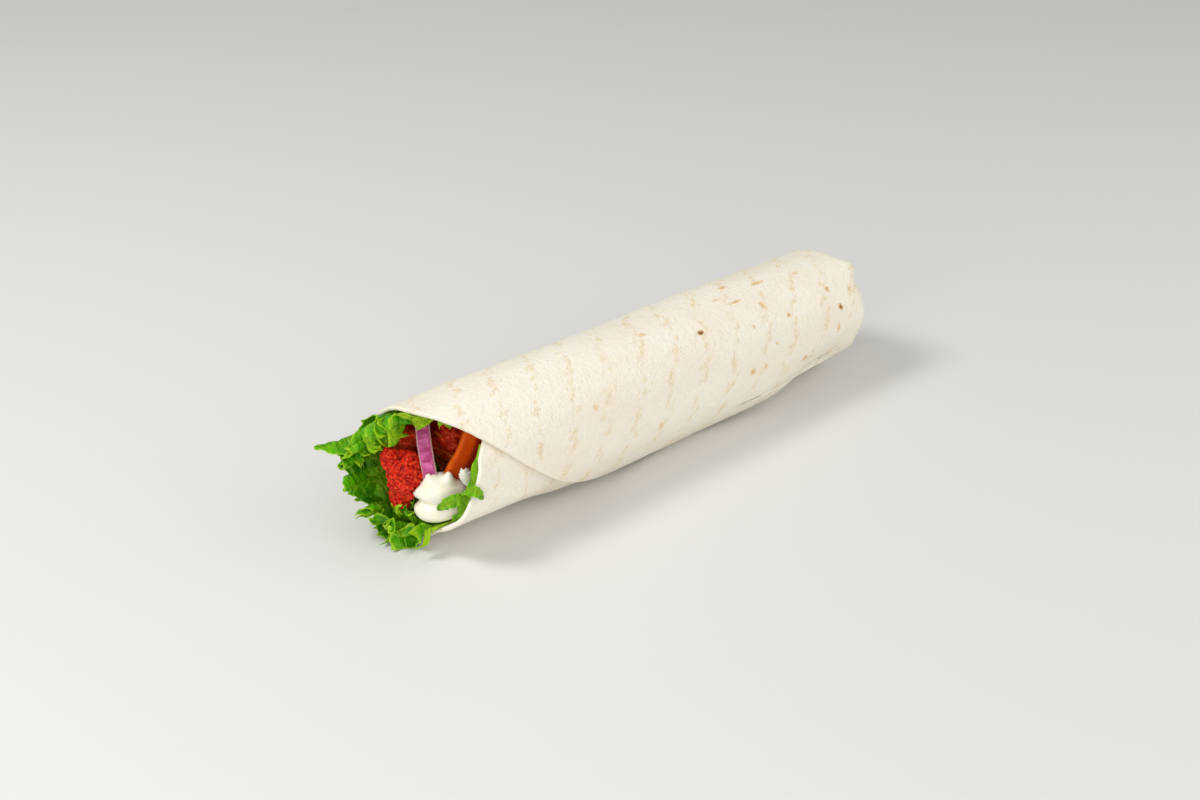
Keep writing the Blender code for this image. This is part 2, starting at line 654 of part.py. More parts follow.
def fused_chunks(name, lumps, rough, turned, made_of):
    """Chunks given as centre (x, y, height over the axis), radii, detail and seed, in millimetres."""
    parts = [lump(name + str(k), [c * MM for c in centre], [r * MM for r in radii], detail, rough, seed,
                  made_of, turned)
             for k, (centre, radii, detail, seed) in enumerate(lumps)]
    for part in parts:
        inside_wall(part, LINING)
    return join(name, parts, made_of)


def sprig(made_of):
    """The leaflets along the front rim, one of which curls out over the tortilla."""
    leaflets = [blade("leaflet%d" % k, [height_point(*p) for p in path], width * MM, facing, made_of,
                      curl=curl * MM)
                for k, (path, width, facing, curl) in enumerate(SPRIG_LEAFLETS)]
    return join("lettuce_sprig", leaflets, made_of)


def build():
    for obj in list(bpy.data.objects):
        bpy.data.objects.remove(obj)

    flour = material("flour_tortilla", (0.86, 0.79, 0.66), 0.7)
    green = material("lettuce_green", (0.16, 0.42, 0.03), 0.45)
    chicken = material("spiced_chicken", (0.55, 0.04, 0.02), 0.55)
    purple = material("red_onion", (0.42, 0.09, 0.22), 0.35)
    orange = material("cooked_pepper", (0.45, 0.09, 0.01), 0.3)
    cream = material("white_sauce", (0.88, 0.86, 0.78), 0.25)

    sheet = tortilla(flour)
    frilly_leaf("lettuce_back_leaf", 4.0, -140.0, 62, BACK_REACH, BACK_RUFFLE, BACK_POINTS, 3.57, green)
    frilly_leaf("lettuce_under_leaf", -141.2, -230.0, 46, UNDER_REACH, UNDER_RUFFLE, UNDER_POINTS, 3.1, green)
    leaflets = cut("lettuce_sprig", sprig(green), swollen(sheet, 0.4 * LAYER_GAP), green)

    onion_path, pepper_path = ([height_point(*p) for p in path] for path in (ONION_PATH, PEPPER_PATH))
    onion = strip("onion_slice", onion_path, 5.4 * MM, 2.4 * MM, SIGHT, purple)
    pepper = strip("pepper_strip", pepper_path, 7.6 * MM, 4.4 * MM, PEPPER_FACING, orange)
    front = fused_chunks("front", FRONT_CHUNKS, 0.14, 40.0, chicken)
    front = cut("chicken_front_chunk", front, swollen(onion, CLEAR), chicken)
    sauce = fused_chunks("sauce", SAUCE_LOBES, 0.07, 40.0, cream)
    for other in (onion, pepper, front, leaflets):
        sauce = cut("white_sauce", sauce, swollen(other, CLEAR), cream)
    back = fused_chunks("back", BACK_CHUNKS, 0.16, 0.0, chicken)
    filling = join("filling", [filling_core(chicken), back], chicken)
    for other in (onion, pepper, front, sauce):
        filling = cut("chicken_filling", filling, swollen(other, CLEAR), chicken)

    to_origin = Matrix.Translation((-ORIGIN_X, -ORIGIN_Y, 0.0))
    for obj in bpy.data.objects:
        obj.data.transform(to_origin)
        obj.data.update()


build()
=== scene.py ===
import math

import bmesh
import bpy
import numpy as np
from mathutils import Matrix, Vector, noise


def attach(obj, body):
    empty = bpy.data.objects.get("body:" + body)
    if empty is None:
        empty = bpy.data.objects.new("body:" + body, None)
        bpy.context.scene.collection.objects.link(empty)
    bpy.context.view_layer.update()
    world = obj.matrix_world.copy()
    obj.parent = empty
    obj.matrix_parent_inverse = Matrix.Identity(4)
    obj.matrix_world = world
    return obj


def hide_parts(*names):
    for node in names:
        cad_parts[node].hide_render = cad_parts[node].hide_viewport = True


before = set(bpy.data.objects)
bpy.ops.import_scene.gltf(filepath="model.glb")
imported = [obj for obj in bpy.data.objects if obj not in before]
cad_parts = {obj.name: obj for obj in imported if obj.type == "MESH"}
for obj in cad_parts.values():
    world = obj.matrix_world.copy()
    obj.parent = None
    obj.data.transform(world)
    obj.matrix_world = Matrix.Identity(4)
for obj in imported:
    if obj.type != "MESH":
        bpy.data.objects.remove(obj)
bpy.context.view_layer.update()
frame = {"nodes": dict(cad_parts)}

# The looks of a rolled flour tortilla wrap. Metres, +Z up. The roll lies along X, its open mouth towards -X
# and its tucked end towards +X. Angles round the roll are in degrees: 0 is straight up, 90 points to the
# front (-Y), 180 straight down. A turn tells a place round the rolled sheet, in degrees from its underside.

MM = 0.001
FIELD_SEED = 4
FAR_OFF = 1.0  # a metre: where there is no wall or rim

noise.seed_set(FIELD_SEED)  # unset, the random vector field would be another one in each run

# Sizes of the roll, which are the solids' own
ORIGIN_X, ORIGIN_Y = 8.7 * MM, -1.7 * MM
BOTTOM_ANGLE = -175.0
TURN_IN, TURN_OUT = -261.0, 333.0
CLIMB_START, CLIMB_END = -32.0, 60.0
SETTLE = 2.7 * MM
RIM_BACK = -90.0 * MM
ROLL_SIZES = {
    "radius": 27.5 * MM, "taper": 0.0121, "sheet": 1.8 * MM, "layer_gap": 0.4 * MM,
    "round_radius": 152.5 * MM, "round_centre": 44.4 * MM, "round_shift": 5.0 * MM,
    "round_centre_tip": 36.9 * MM, "round_centre_inner": 43.9 * MM, "round_centre_tuck": 22.0 * MM,
    "askew": 40.0 * MM,
    "end_face": 125.5 * MM, "end_slant": 2.8 * MM, "end_corner": 5.2 * MM, "end_bulge": 3.0 * MM,
    "tuck_outer": 13.0 * MM, "tuck_inner": 8.0 * MM, "pleats": 7.0, "pleat_depth": 0.8 * MM,
}
END_SLANT_ANGLE = 20.0
NUB_ANGLE, NUB_WIDTH, NUB_HEIGHT = 27.0, 15.0, 4.0 * MM
DRAW_START, DRAW_RUN = 72.0 * MM, 32.0 * MM
DRAW_ANGLE, DRAW_WIDTH = 122.0, 60.0
DRAW_OUTER, DRAW_INNER = 4.6 * MM, 2.2 * MM
DRAW_EASE, DRAW_EASE_START, DRAW_EASE_RUN = 0.3, 104.0 * MM, 16.0 * MM
FLAP_CORNER = 288.0
TIP_START, TIP_RUN = 122.0 * MM, 28.0 * MM
LIP_ANGLE, LIP_WIDTH, LIP_DRAW = 145.0, 42.0, 4.2 * MM
LIP_START, LIP_RUN = -26.0 * MM, 40.0 * MM
SPRING_TURN, SPRING_FADE = -68.0, 20.0
SPRING_START, SPRING_RUN = 7.0 * MM, 10.0 * MM
MOUTH_PRESS, PRESS_START, PRESS_RUN = 0.8 * MM, -55.0 * MM, 35.0 * MM
NARROWEST = 14.0 * MM
TIGHTEST_BEND = 0.8 * MM
UNEVEN_WIDE, UNEVEN_WIDE_RUN = 0.25 * MM, 34.0 * MM
UNEVEN_NARROW, UNEVEN_NARROW_RUN = 0.2 * MM, 19.0 * MM
PLEAT_PHASE, PLEAT_SHARE_ROUND = 0.6, 0.4
PLEAT_START, PLEAT_RUN = 100.0 * MM, 20.0 * MM
RIM_WAVE, RIM_WAVE_RUN = 0.8 * MM, 9.0 * MM
BULGE_MARGIN, BULGE_RUN = 2.0 * MM, 2.0 * MM
COVER_TURN, COVER_FADE = -24.0, 16.0


# ------------------------------------------------- sums that work on numbers, arrays and node fields

class Field:
    """A number that Geometry Nodes work out at each point, so that a formula reads as a plain sum."""

    def __init__(self, tree, socket):
        self.tree, self.socket = tree, socket

    def __add__(self, other):
        return calc("ADD", self, other)

    __radd__ = __add__

    def __sub__(self, other):
        return calc("SUBTRACT", self, other)

    def __rsub__(self, other):
        return calc("SUBTRACT", other, self)

    def __mul__(self, other):
        return calc("MULTIPLY", self, other)

    __rmul__ = __mul__

    def __truediv__(self, other):
        return calc("DIVIDE", self, other)

    def __rtruediv__(self, other):
        return calc("DIVIDE", other, self)


PLAIN = {
    "ADD": lambda a, b: a + b, "SUBTRACT": lambda a, b: a - b, "MULTIPLY": lambda a, b: a * b,
    "DIVIDE": lambda a, b: a / b, "SINE": np.sin, "COSINE": np.cos, "MINIMUM": np.minimum,
    "MAXIMUM": np.maximum, "SQRT": np.sqrt, "FLOORED_MODULO": lambda a, b: a % b, "ABSOLUTE": np.abs,
    "GREATER_THAN": lambda a, b: np.where(a > b, 1.0, 0.0), "POWER": lambda a, b: a ** b,
}


def calc(operation, *values):
    """One sum: a Math node where any value is a field, else plain arithmetic."""
    field = next((v for v in values if isinstance(v, Field)), None)
    if field is None:
        return PLAIN[operation](*values)
    node = field.tree.nodes.new("ShaderNodeMath")
    node.operation = operation
    for socket, value in zip(node.inputs, values):
        if isinstance(value, Field):
            field.tree.links.new(value.socket, socket)
        else:
            socket.default_value = float(value)
    return Field(field.tree, node.outputs[0])


def sine(a):
    return calc("SINE", a)


def cosine(a):
    return calc("COSINE", a)


def least(a, b):
    return calc("MINIMUM", a, b)


def most(a, b):
    return calc("MAXIMUM", a, b)


def is_over(a, b):
    """1 where a is greater than b, else 0."""
    return calc("GREATER_THAN", a, b)


def pick(test, yes, no):
    """One of two values, by a test that is 1 or 0."""
    return no + (yes - no) * test


def smooth(t):
    """0 up to 0 and 1 from 1, with a soft rise between."""
    t = least(most(t, 0.0), 1.0)
    return t * t * (3.0 - 2.0 * t)


def bump(angle, middle, half_width):
    """1 at the middle angle, fading to 0 at half_width degrees to either side."""
    away = calc("ABSOLUTE", calc("FLOORED_MODULO", angle - middle + 180.0, 360.0) - 180.0)
    wave = cosine(least(away / half_width, 1.0) * (0.5 * math.pi))
    return wave * wave


def rad(degrees):
    return degrees * (math.pi / 180.0)


class Roll:
    """The roll's form, from its sizes as numbers or as the inputs of a node tree."""

    def __init__(self, sizes):
        self.__dict__.update(sizes)

    def radius_at(self, x):
        return self.radius - self.taper * x

    def axis_height(self, x):
        return self.radius_at(x) - SETTLE

    def drawn_in(self, angle, x):
        """Share of the hollow drawn into the front near the tucked end."""
        eased = 1.0 - DRAW_EASE * smooth((x - DRAW_EASE_START) / DRAW_EASE_RUN)
        return smooth((x - DRAW_START) / DRAW_RUN) * eased * bump(angle, DRAW_ANGLE, DRAW_WIDTH)

    def envelope(self, angle, x):
        """Radius of the outer flap's outside."""
        a = rad(angle)
        uneven = (UNEVEN_WIDE * sine(2.0 * a + x / UNEVEN_WIDE_RUN + 0.6)
                  + UNEVEN_NARROW * sine(3.0 * a - x / UNEVEN_NARROW_RUN))
        mouth = MOUTH_PRESS * smooth((PRESS_START - x) / PRESS_RUN)
        pleat = (PLEAT_SHARE_ROUND * self.pleat_depth * cosine(self.pleats * a + PLEAT_PHASE)
                 * smooth((x - PLEAT_START) / PLEAT_RUN))
        return self.radius_at(x) + uneven - mouth - DRAW_OUTER * self.drawn_in(angle, x) - pleat

    def inner_share(self, turn):
        """1 on the inner layer, 0 on the outer one."""
        return 1.0 - smooth((turn - CLIMB_START) / (CLIMB_END - CLIMB_START))

    def depth(self, turn, x):
        """How far the middle of the sheet lies inside the envelope."""
        angle = BOTTOM_ANGLE + turn
        share = self.inner_share(turn)
        lip = LIP_DRAW * smooth((LIP_START - x) / LIP_RUN) * bump(angle, LIP_ANGLE, LIP_WIDTH)
        outside = smooth((self.rim(turn + 360.0) - SPRING_START - x) / SPRING_RUN)
        sprung = outside * smooth((SPRING_TURN - turn) / SPRING_FADE)
        lip = lip - (self.sheet + self.layer_gap) * sprung
        tuck = DRAW_INNER * self.drawn_in(angle, x)
        layers = self.sheet * 0.5 + share * (self.sheet + self.layer_gap)
        return layers + is_over(0.0, turn) * share * (lip + tuck)

    def end_face_at(self, angle):
        """Where the tucked end lies at an angle: it slants, and the flap's corner stands out as a nub."""
        nub = NUB_HEIGHT * bump(angle, NUB_ANGLE, NUB_WIDTH)
        return self.end_face + self.end_slant * cosine(rad(angle - END_SLANT_ANGLE)) + nub

    def along_sheet(self, turn):
        """Length round the sheet, from its underside."""
        middle = self.radius - self.sheet * 0.5 - self.inner_share(turn) * (self.sheet + self.layer_gap)
        return rad(turn) * middle

    def arc_reach(self, s):
        """How far the flat round reaches along the roll, at a length round it."""
        return calc("SQRT", most(self.round_radius * self.round_radius - s * s, 0.0))

    def rim(self, turn):
        """Where the sheet's edge lies at the mouth."""
        s = self.along_sheet(turn)
        tip = smooth((s - TIP_START) / TIP_RUN)
        centre = self.round_centre + (self.round_centre_tip - self.round_centre) * tip
        outer = centre - self.arc_reach(s - self.round_shift * (1.0 - tip))
        arcs = most(outer, self.round_centre_inner - self.arc_reach(s - self.askew))
        return most(arcs, RIM_BACK + RIM_WAVE * sine(s / RIM_WAVE_RUN))

    def knee_length(self, turn):
        """Length of the bend into the end face."""
        return (self.end_corner - self.depth(turn, self.end_face - self.end_corner)) * (0.5 * math.pi)

    def sheet_end(self, turn):
        """Length coordinate at which the sheet ends towards the tucked end, before it is folded in."""
        s = self.along_sheet(turn)
        inner_edge = self.round_centre_inner + self.arc_reach(s - self.askew)
        outer_edge = pick(is_over(turn, FLAP_CORNER), self.round_centre_tuck + self.arc_reach(s), FAR_OFF)
        round_edge = pick(is_over(turn, 0.0), outer_edge, inner_edge)
        tuck = self.tuck_outer + (self.tuck_inner - self.tuck_outer) * self.inner_share(turn)
        folded = self.knee_length(turn) + (self.radius_at(self.end_face) - self.end_corner - tuck)
        return least(round_edge, self.end_face_at(BOTTOM_ANGLE + turn) - self.end_corner + folded)

    def sheet_point(self, turn, length):
        """Middle of the sheet: straight along the roll, round the folded corner and into the end face."""
        angle = BOTTOM_ANGLE + turn
        a = rad(angle)
        knee = self.end_face_at(angle) - self.end_corner
        straight = least(length, knee)
        past = most(length - knee, 0.0)
        bend = most(self.end_corner - self.depth(turn, knee), TIGHTEST_BEND)
        swing = least(past / bend, 0.5 * math.pi)
        inward = most(past - bend * (0.5 * math.pi), 0.0)
        rolled = self.envelope(angle, straight) - self.depth(turn, straight)
        radius = rolled - bend * (1.0 - cosine(swing)) - inward
        bulging = self.radius_at(self.end_face) - BULGE_MARGIN
        share = smooth(1.0 - radius / bulging) * least(past / BULGE_RUN, 1.0)
        bulge = self.end_bulge + self.pleat_depth * cosine(self.pleats * a + PLEAT_PHASE)
        x = straight + bend * sine(swing) + share * bulge
        return x, -1.0 * radius * sine(a), self.axis_height(x) + radius * cosine(a)

    def floor_clearance(self, turn):
        """Lowest height of the middle of the sheet: the inner layer stays above the flap under it."""
        covered = (1.0 - smooth((turn - COVER_TURN) / COVER_FADE)) * is_over(0.0, turn)
        return self.sheet * 0.5 + covered * (self.sheet + self.layer_gap)


roll = Roll(ROLL_SIZES)


def on_roll(angle, x, radius):
    """A point from its angle, its place along the roll and its distance from the axis."""
    a = rad(angle)
    return np.stack(np.broadcast_arrays(x, -radius * np.sin(a), roll.axis_height(x) + radius * np.cos(a)), -1)


def on_sheet(turn):
    """Whether the sheet has a layer at a turn."""
    return (turn >= TURN_IN) & (turn <= TURN_OUT)


def inner_wall(angle, x, flare=1.6, past_rim=1.5 * MM):
    """Radius of the tortilla's inside at an angle, growing outside the mouth as a wide cone."""
    outer = (angle - BOTTOM_ANGLE) % 360.0
    best = np.full(np.broadcast(angle, x).shape, FAR_OFF)
    for turn in (outer, outer - 360.0):
        edge = roll.rim(turn)
        outside = np.maximum(edge - past_rim - x, 0.0)
        wall = roll.envelope(angle, x) - roll.depth(turn, np.maximum(x, edge)) - roll.sheet / 2
        best = np.minimum(best, np.where(on_sheet(turn), wall + flare * outside, FAR_OFF))
    return best


def floor_level(angle, x, past_rim=3.0 * MM):
    """Height of the tortilla's inside over the floor, under the filling."""
    outer = (angle - BOTTOM_ANGLE) % 360.0
    level = np.zeros(np.broadcast(angle, x).shape)
    for turn in (outer, outer - 360.0):
        carried = on_sheet(turn) & (x > roll.rim(turn) - past_rim)
        level = np.maximum(level, np.where(carried, roll.floor_clearance(turn) + roll.sheet / 2, 0.0))
    return level


# ------------------------------------------------- making nodes and meshes

def node(tree, kind, inputs=None, **settings):
    """Adds a node with its settings and its inputs, each a value, a socket, a field or another node."""
    made = tree.nodes.new(kind)
    for name, value in settings.items():
        setattr(made, name, value)
    for key, value in (inputs or {}).items():
        socket = made.inputs[key]
        if isinstance(value, bpy.types.Node):
            value = value.outputs[0]
        if isinstance(value, Field):
            value = value.socket
        if isinstance(value, bpy.types.NodeSocket):
            tree.links.new(value, socket)
        else:
            socket.default_value = value
    return made


def new_tree(name, kind, inputs, outputs):
    """A node group with named sockets, and its input and output nodes."""
    tree = bpy.data.node_groups.new(name, kind)
    for label, form, value in inputs:
        socket = tree.interface.new_socket(label, in_out="INPUT", socket_type="NodeSocket" + form)
        if value is not None:
            socket.default_value = value
    for label, form in outputs:
        tree.interface.new_socket(label, in_out="OUTPUT", socket_type="NodeSocket" + form)
    return tree, tree.nodes.new("NodeGroupInput"), tree.nodes.new("NodeGroupOutput")


def placed(name, data):
    """A new object in the scene."""
    made = bpy.data.objects.new(name, data)
    bpy.context.collection.objects.link(made)
    return made


def spaced(values):
    """The values by the names that sockets have, with spaces."""
    return {key.replace("_", " "): value for key, value in values.items()}


def baked(name, tree, values, base=None):
    """The plain mesh that a geometry tree makes, as an object."""
    if base is None:
        base = placed(name + "_base", bpy.data.meshes.new(name + "_base"))
    made_by = base.modifiers.new("made", "NODES")
    made_by.node_group = tree
    for item in tree.interface.items_tree:
        if item.item_type == "SOCKET" and item.in_out == "INPUT" and item.name in values:
            made_by[item.identifier] = values[item.name]
    bpy.context.view_layer.update()
    evaluated = base.evaluated_get(bpy.context.evaluated_depsgraph_get())
    mesh = bpy.data.meshes.new_from_object(evaluated)
    mesh.name = name
    base.modifiers.remove(made_by)
    bpy.data.objects.remove(base)
    return placed(name, mesh)


def seat(piece, slot, *nodes):
    """Rides the piece on the body, in place of its solids; its slot is not used."""
    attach(piece, "root")
    if nodes:
        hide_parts(*nodes)
    return piece


def here_in(tree):
    """The place of each point in a geometry tree, as three fields."""
    place = node(tree, "ShaderNodeSeparateXYZ", {0: node(tree, "GeometryNodeInputPosition")})
    return [Field(tree, socket) for socket in place.outputs]


def stored(tree, geometry, name, value, kind="FLOAT"):
    """Stores a value at each point under a name."""
    return node(tree, "GeometryNodeStoreNamedAttribute", {"Geometry": geometry, "Name": name, "Value": value},
                data_type=kind, domain="POINT")


def recalled(tree, name):
    """The number that is stored at each point under a name."""
    made = node(tree, "GeometryNodeInputNamedAttribute", {"Name": name}, data_type="FLOAT")
    return Field(tree, made.outputs[0])


def finish_tree(tree, geometry, material, out):
    """Ends a geometry tree with real faces, shaded smooth, in their material."""
    for kind in ("GeometryNodeRealizeInstances", "GeometryNodeSetShadeSmooth"):
        geometry = node(tree, kind, {"Geometry": geometry})
    done = node(tree, "GeometryNodeSetMaterial", {"Geometry": geometry, "Material": material})
    tree.links.new(done.outputs[0], out.inputs[0])
    return tree


def object_from(name, bm, material):
    """A smooth object in one material, from a mesh in the making."""
    mesh = bpy.data.meshes.new(name)
    bm.to_mesh(mesh)
    bm.free()
    mesh.materials.append(material)
    mesh.shade_smooth()
    return placed(name, mesh)


def to_row_frame(obj):
    """Moves a mesh made about the roll's own axis to the frame's origin."""
    obj.data.transform(Matrix.Translation((-ORIGIN_X, -ORIGIN_Y, 0.0)))
    obj.data.update()
    return obj


# ------------------------------------------------- the rolled sheet

def crowded(share, strength):
    """A share from 0 to 1, with its steps drawn towards both ends."""
    return share - sine(share * (2.0 * math.pi)) * (strength / (2.0 * math.pi))


CROWD_ROUND, CROWD_ALONG = 0.75, 0.85
RAGGED_COARSE, RAGGED_FINE, RAGGED_FINE_SHARE = 140.0, 520.0, 0.6  # waves in a metre, as the next two
WRINKLE_SCALE, PUCKER_SCALE = 38.0, 260.0
EDGE_BAND, MERGE_DISTANCE = 0.01 * MM, 0.002 * MM


def rolled_sheet_tree():
    """Geometry nodes that roll a round sheet into a wrap and fold its far end in."""
    inputs = [(name, "Float", value) for name, value in ROLL_SIZES.items()]
    inputs += [("Rows Round", "Int", 200), ("Columns Along", "Int", 200), ("Ragged Rim", "Float", 0.5 * MM),
               ("Wrinkle Height", "Float", 0.35 * MM), ("Pucker Height", "Float", 0.1 * MM),
               ("Seed", "Float", 3.0), ("Material", "Material", None)]
    tree, given, out = new_tree("rolled_sheet", "GeometryNodeTree", inputs, [("Mesh", "Geometry")])
    tree.is_modifier = True
    form = Roll({name: Field(tree, given.outputs[name]) for name in ROLL_SIZES})
    grid = node(tree, "GeometryNodeMeshGrid", {
        "Size X": 1.0, "Size Y": 1.0, "Vertices X": given.outputs["Columns Along"],
        "Vertices Y": given.outputs["Rows Round"]})
    along, across = (place + 0.5 for place in here_in(tree)[:2])
    turn = TURN_IN + (TURN_OUT - TURN_IN) * crowded(across, CROWD_ROUND)
    s = form.along_sheet(turn)

    def wobble(scale, *coordinates):
        """Noise from -1 to 1 at a place given by up to three fields."""
        spot = node(tree, "ShaderNodeCombineXYZ", dict(enumerate(coordinates)))
        made = node(tree, "ShaderNodeTexNoise", {"Vector": spot, "W": given.outputs["Seed"], "Scale": scale,
                                                 "Detail": 2.0}, noise_dimensions="4D")
        return (Field(tree, made.outputs[0]) - 0.5) * 2.0

    ragged = Field(tree, given.outputs["Ragged Rim"])
    start = (form.rim(turn) + ragged * wobble(RAGGED_COARSE, s)
             + ragged * RAGGED_FINE_SHARE * wobble(RAGGED_FINE, s))
    end = most(form.sheet_end(turn), start + NARROWEST)
    length = start + (end - start) * crowded(along, CROWD_ALONG)
    x, y, z = form.sheet_point(turn, length)
    z = most(z, form.floor_clearance(turn))
    from_sides = least(rad(turn - TURN_IN), rad(TURN_OUT - turn)) * form.radius
    from_edge = least(least(length - start, end - length), from_sides)
    marks = node(tree, "ShaderNodeCombineXYZ", {0: s, 1: length, 2: turn * MM})
    marked = stored(tree, grid.outputs[0], "sheet", marks, "FLOAT_VECTOR")
    marked = stored(tree, marked, "from_edge", from_edge)
    marked = node(tree, "GeometryNodeSetPosition", {
        "Geometry": marked, "Position": node(tree, "ShaderNodeCombineXYZ", {0: x, 1: y, 2: z})})

    half = form.sheet * 0.5
    inward = 1.0 - least(most(recalled(tree, "from_edge") - EDGE_BAND, 0.0) / half, 1.0)
    rounded = half * calc("SQRT", most(1.0 - inward * inward, 0.0))
    here = here_in(tree)
    wave = Field(tree, given.outputs["Wrinkle Height"]) * wobble(WRINKLE_SCALE, *here)
    pucker = Field(tree, given.outputs["Pucker Height"]) * wobble(PUCKER_SCALE, *here)
    both = tree.nodes.new("GeometryNodeJoinGeometry")
    for sign in (1.0, -1.0):
        push = wave + sign * (rounded + pucker * calc("POWER", 1.0 - inward, 2.0))
        offset = node(tree, "ShaderNodeVectorMath", {0: node(tree, "GeometryNodeInputNormal"), "Scale": push},
                      operation="SCALE")
        side = node(tree, "GeometryNodeSetPosition", {"Geometry": marked, "Offset": offset})
        if sign < 0.0:
            side = node(tree, "GeometryNodeFlipFaces", {0: side})
        tree.links.new(side.outputs[0], both.inputs[0])
    closed = node(tree, "GeometryNodeMergeByDistance", {"Geometry": both, "Distance": MERGE_DISTANCE})
    x, y, z = here_in(tree)
    above = node(tree, "ShaderNodeCombineXYZ", {0: x, 1: y, 2: most(z, 0.0)})
    lying = node(tree, "GeometryNodeSetPosition", {"Geometry": closed, "Position": above})
    return finish_tree(tree, lying, given.outputs["Material"], out)


FOLD_RINGS, FOLD_SPOKES = 36, 180
FOLD_RADIUS, FOLD_THICKNESS, FOLD_SET_BACK = 13.8 * MM, 1.6 * MM, 2.7 * MM
FOLD_TWIST, FOLD_TURN = 2.6, 10.0
FOLD_LIFT, FOLD_LIFT_START, FOLD_LIFT_RUN = 1.5 * MM, 9.5 * MM, 3.0 * MM
NAVEL_DEPTH, NAVEL_SHARPNESS = 1.3 * MM, 3.2


def tucked_fold(material):
    """The tortilla's gathered end, tucked into the middle of the far end under the folded edges."""
    radius = np.linspace(0.0, 1.0, FOLD_RINGS + 1)[1:, None] * FOLD_RADIUS
    angle = np.arange(FOLD_SPOKES)[None, :] * 360.0 / FOLD_SPOKES
    far = radius / FOLD_RADIUS
    swirl = rad(angle) * roll.pleats + FOLD_TWIST * far + 0.5 * np.sin(rad(angle) * 2.0)
    calm = smooth(far * 1.6) * (1.0 - smooth((far - 0.55) / 0.3))  # gathers fade at the middle and the rim
    gather = calm * (0.8 * np.sin(swirl) + 0.25 * np.sin(2.0 * swirl + 1.0)) * MM
    bulge = roll.end_bulge * smooth(1.0 - radius / (roll.radius_at(roll.end_face) - BULGE_MARGIN))
    lift = FOLD_LIFT * smooth((radius - FOLD_LIFT_START) / FOLD_LIFT_RUN)
    navel = NAVEL_DEPTH * np.exp(-(far * NAVEL_SHARPNESS) ** 2)
    sides = []
    for depth in (0.0, FOLD_THICKNESS):
        x = (roll.end_face + bulge + (roll.end_face_at(angle) - roll.end_face) * far - FOLD_SET_BACK - depth
             + gather + lift - navel)
        ring = on_roll(angle + FOLD_TURN * far, x, radius + 0.0 * angle)
        sides.append(np.concatenate([ring[0].mean(0)[None], ring.reshape(-1, 3)]))
    count = 1 + FOLD_RINGS * FOLD_SPOKES
    ring = 1 + np.arange(FOLD_RINGS * FOLD_SPOKES).reshape(FOLD_RINGS, FOLD_SPOKES)
    ahead = np.roll(ring, -1, axis=1)
    quads = np.stack([ring[:-1], ring[1:], ahead[1:], ahead[:-1]], -1).reshape(-1, 4)
    fan = np.stack([0 * ring[0], ring[0], ahead[0]], -1)
    wall = np.stack([ring[-1], ring[-1] + count, ahead[-1] + count, ahead[-1]], -1)
    faces = [f.tolist() for f in (fan, fan[:, ::-1] + count, quads, quads[:, ::-1] + count, wall)]
    bm = bmesh.new()
    points = [bm.verts.new(p) for p in np.concatenate(sides)]
    for face in sum(faces, []):
        bm.faces.new([points[k] for k in face])
    bmesh.ops.recalc_face_normals(bm, faces=bm.faces)
    made = object_from("tucked_fold", bm, material)
    flat = points_of(made.data)[0]
    mark(made.data, "sheet", np.stack([flat[:, 1] + 0.3, flat[:, 2] + 0.2, 0.0 * flat[:, 0]], 1))
    return made


# ------------------------------------------------- finishes

# Colours, as linear red, green and blue
DOUGH, DOUGH_DEEPER, DOUGH_GRAIN = (0.895, 0.845, 0.735), (0.87, 0.80, 0.665), (0.83, 0.765, 0.645)
TOASTED, TANNED, CHARRED = (0.78, 0.63, 0.37), (0.72, 0.50, 0.22), (0.26, 0.11, 0.03)
LEAF_GREEN, LEAF_BRIGHT = (0.055, 0.32, 0.001), (0.11, 0.42, 0.001)
# The lettuce's crest colour is a painted highlight on the tops of its folds, its hollow colour is painted
# shade in their hollows, and its edge colour is the thin margins' paler green with a painted highlight on
# them
LEAF_INSIDE, LEAF_CREST_HIGHLIGHT, LEAF_HOLLOW_SHADE = (0.17, 0.34, 0.004), (0.24, 0.48, 0.002), (0.018, 0.17, 0.001)
LEAF_VEIN, LEAF_EDGE = (0.42, 0.68, 0.05), (0.46, 0.68, 0.02)
# The spice grain colour is the grains' own lighter orange, laid only on raised tops, where it is also a
# painted highlight
SPICE_GRAIN_AND_HIGHLIGHT, OIL_STREAK = (0.90, 0.15, 0.04), (0.80, 0.30, 0.02)
ONION_PALE, ONION_DEEP = (0.68, 0.14, 0.38), (0.36, 0.012, 0.13)
ONION_LINE, ONION_SKIN = (0.36, 0.015, 0.10), (0.95, 0.74, 0.60)
PEPPER_FLESH, PEPPER_DEEP = (0.60, 0.068, 0.001), (0.50, 0.045, 0.001)
# The pepper's dark red side colour is painted shade on the side turned from the light
PEPPER_SHADED_SIDE, PEPPER_EDGE = (0.22, 0.006, 0.001), (0.80, 0.16, 0.008)
# The sauce's groove colour is painted yellow-green shade between its pillows
SAUCE_WHITE, SAUCE_CREAM, SAUCE_GROOVE_SHADE = (0.90, 0.875, 0.76), (0.86, 0.83, 0.66), (0.66, 0.64, 0.24)
HOLLOW_SHADE = 0.15  # how much of the deep colour is left in the chicken's hollows, which are darkened as painted shade


def finish_of(name, **constants):
    """A material, its node tree and its shader, with numbers that are the same all over set on the shader."""
    made = bpy.data.materials.new(name)
    made.use_nodes = True
    tree = made.node_tree
    shader = tree.nodes["Principled BSDF"]
    for key, value in spaced(constants).items():
        shader.inputs[key].default_value = value
    return made, tree, shader


def to_shader(tree, shader, key, value):
    """Links a field or a socket to one of the shader's inputs."""
    if isinstance(value, Field):
        value = value.socket
    tree.links.new(value, shader.inputs[key])


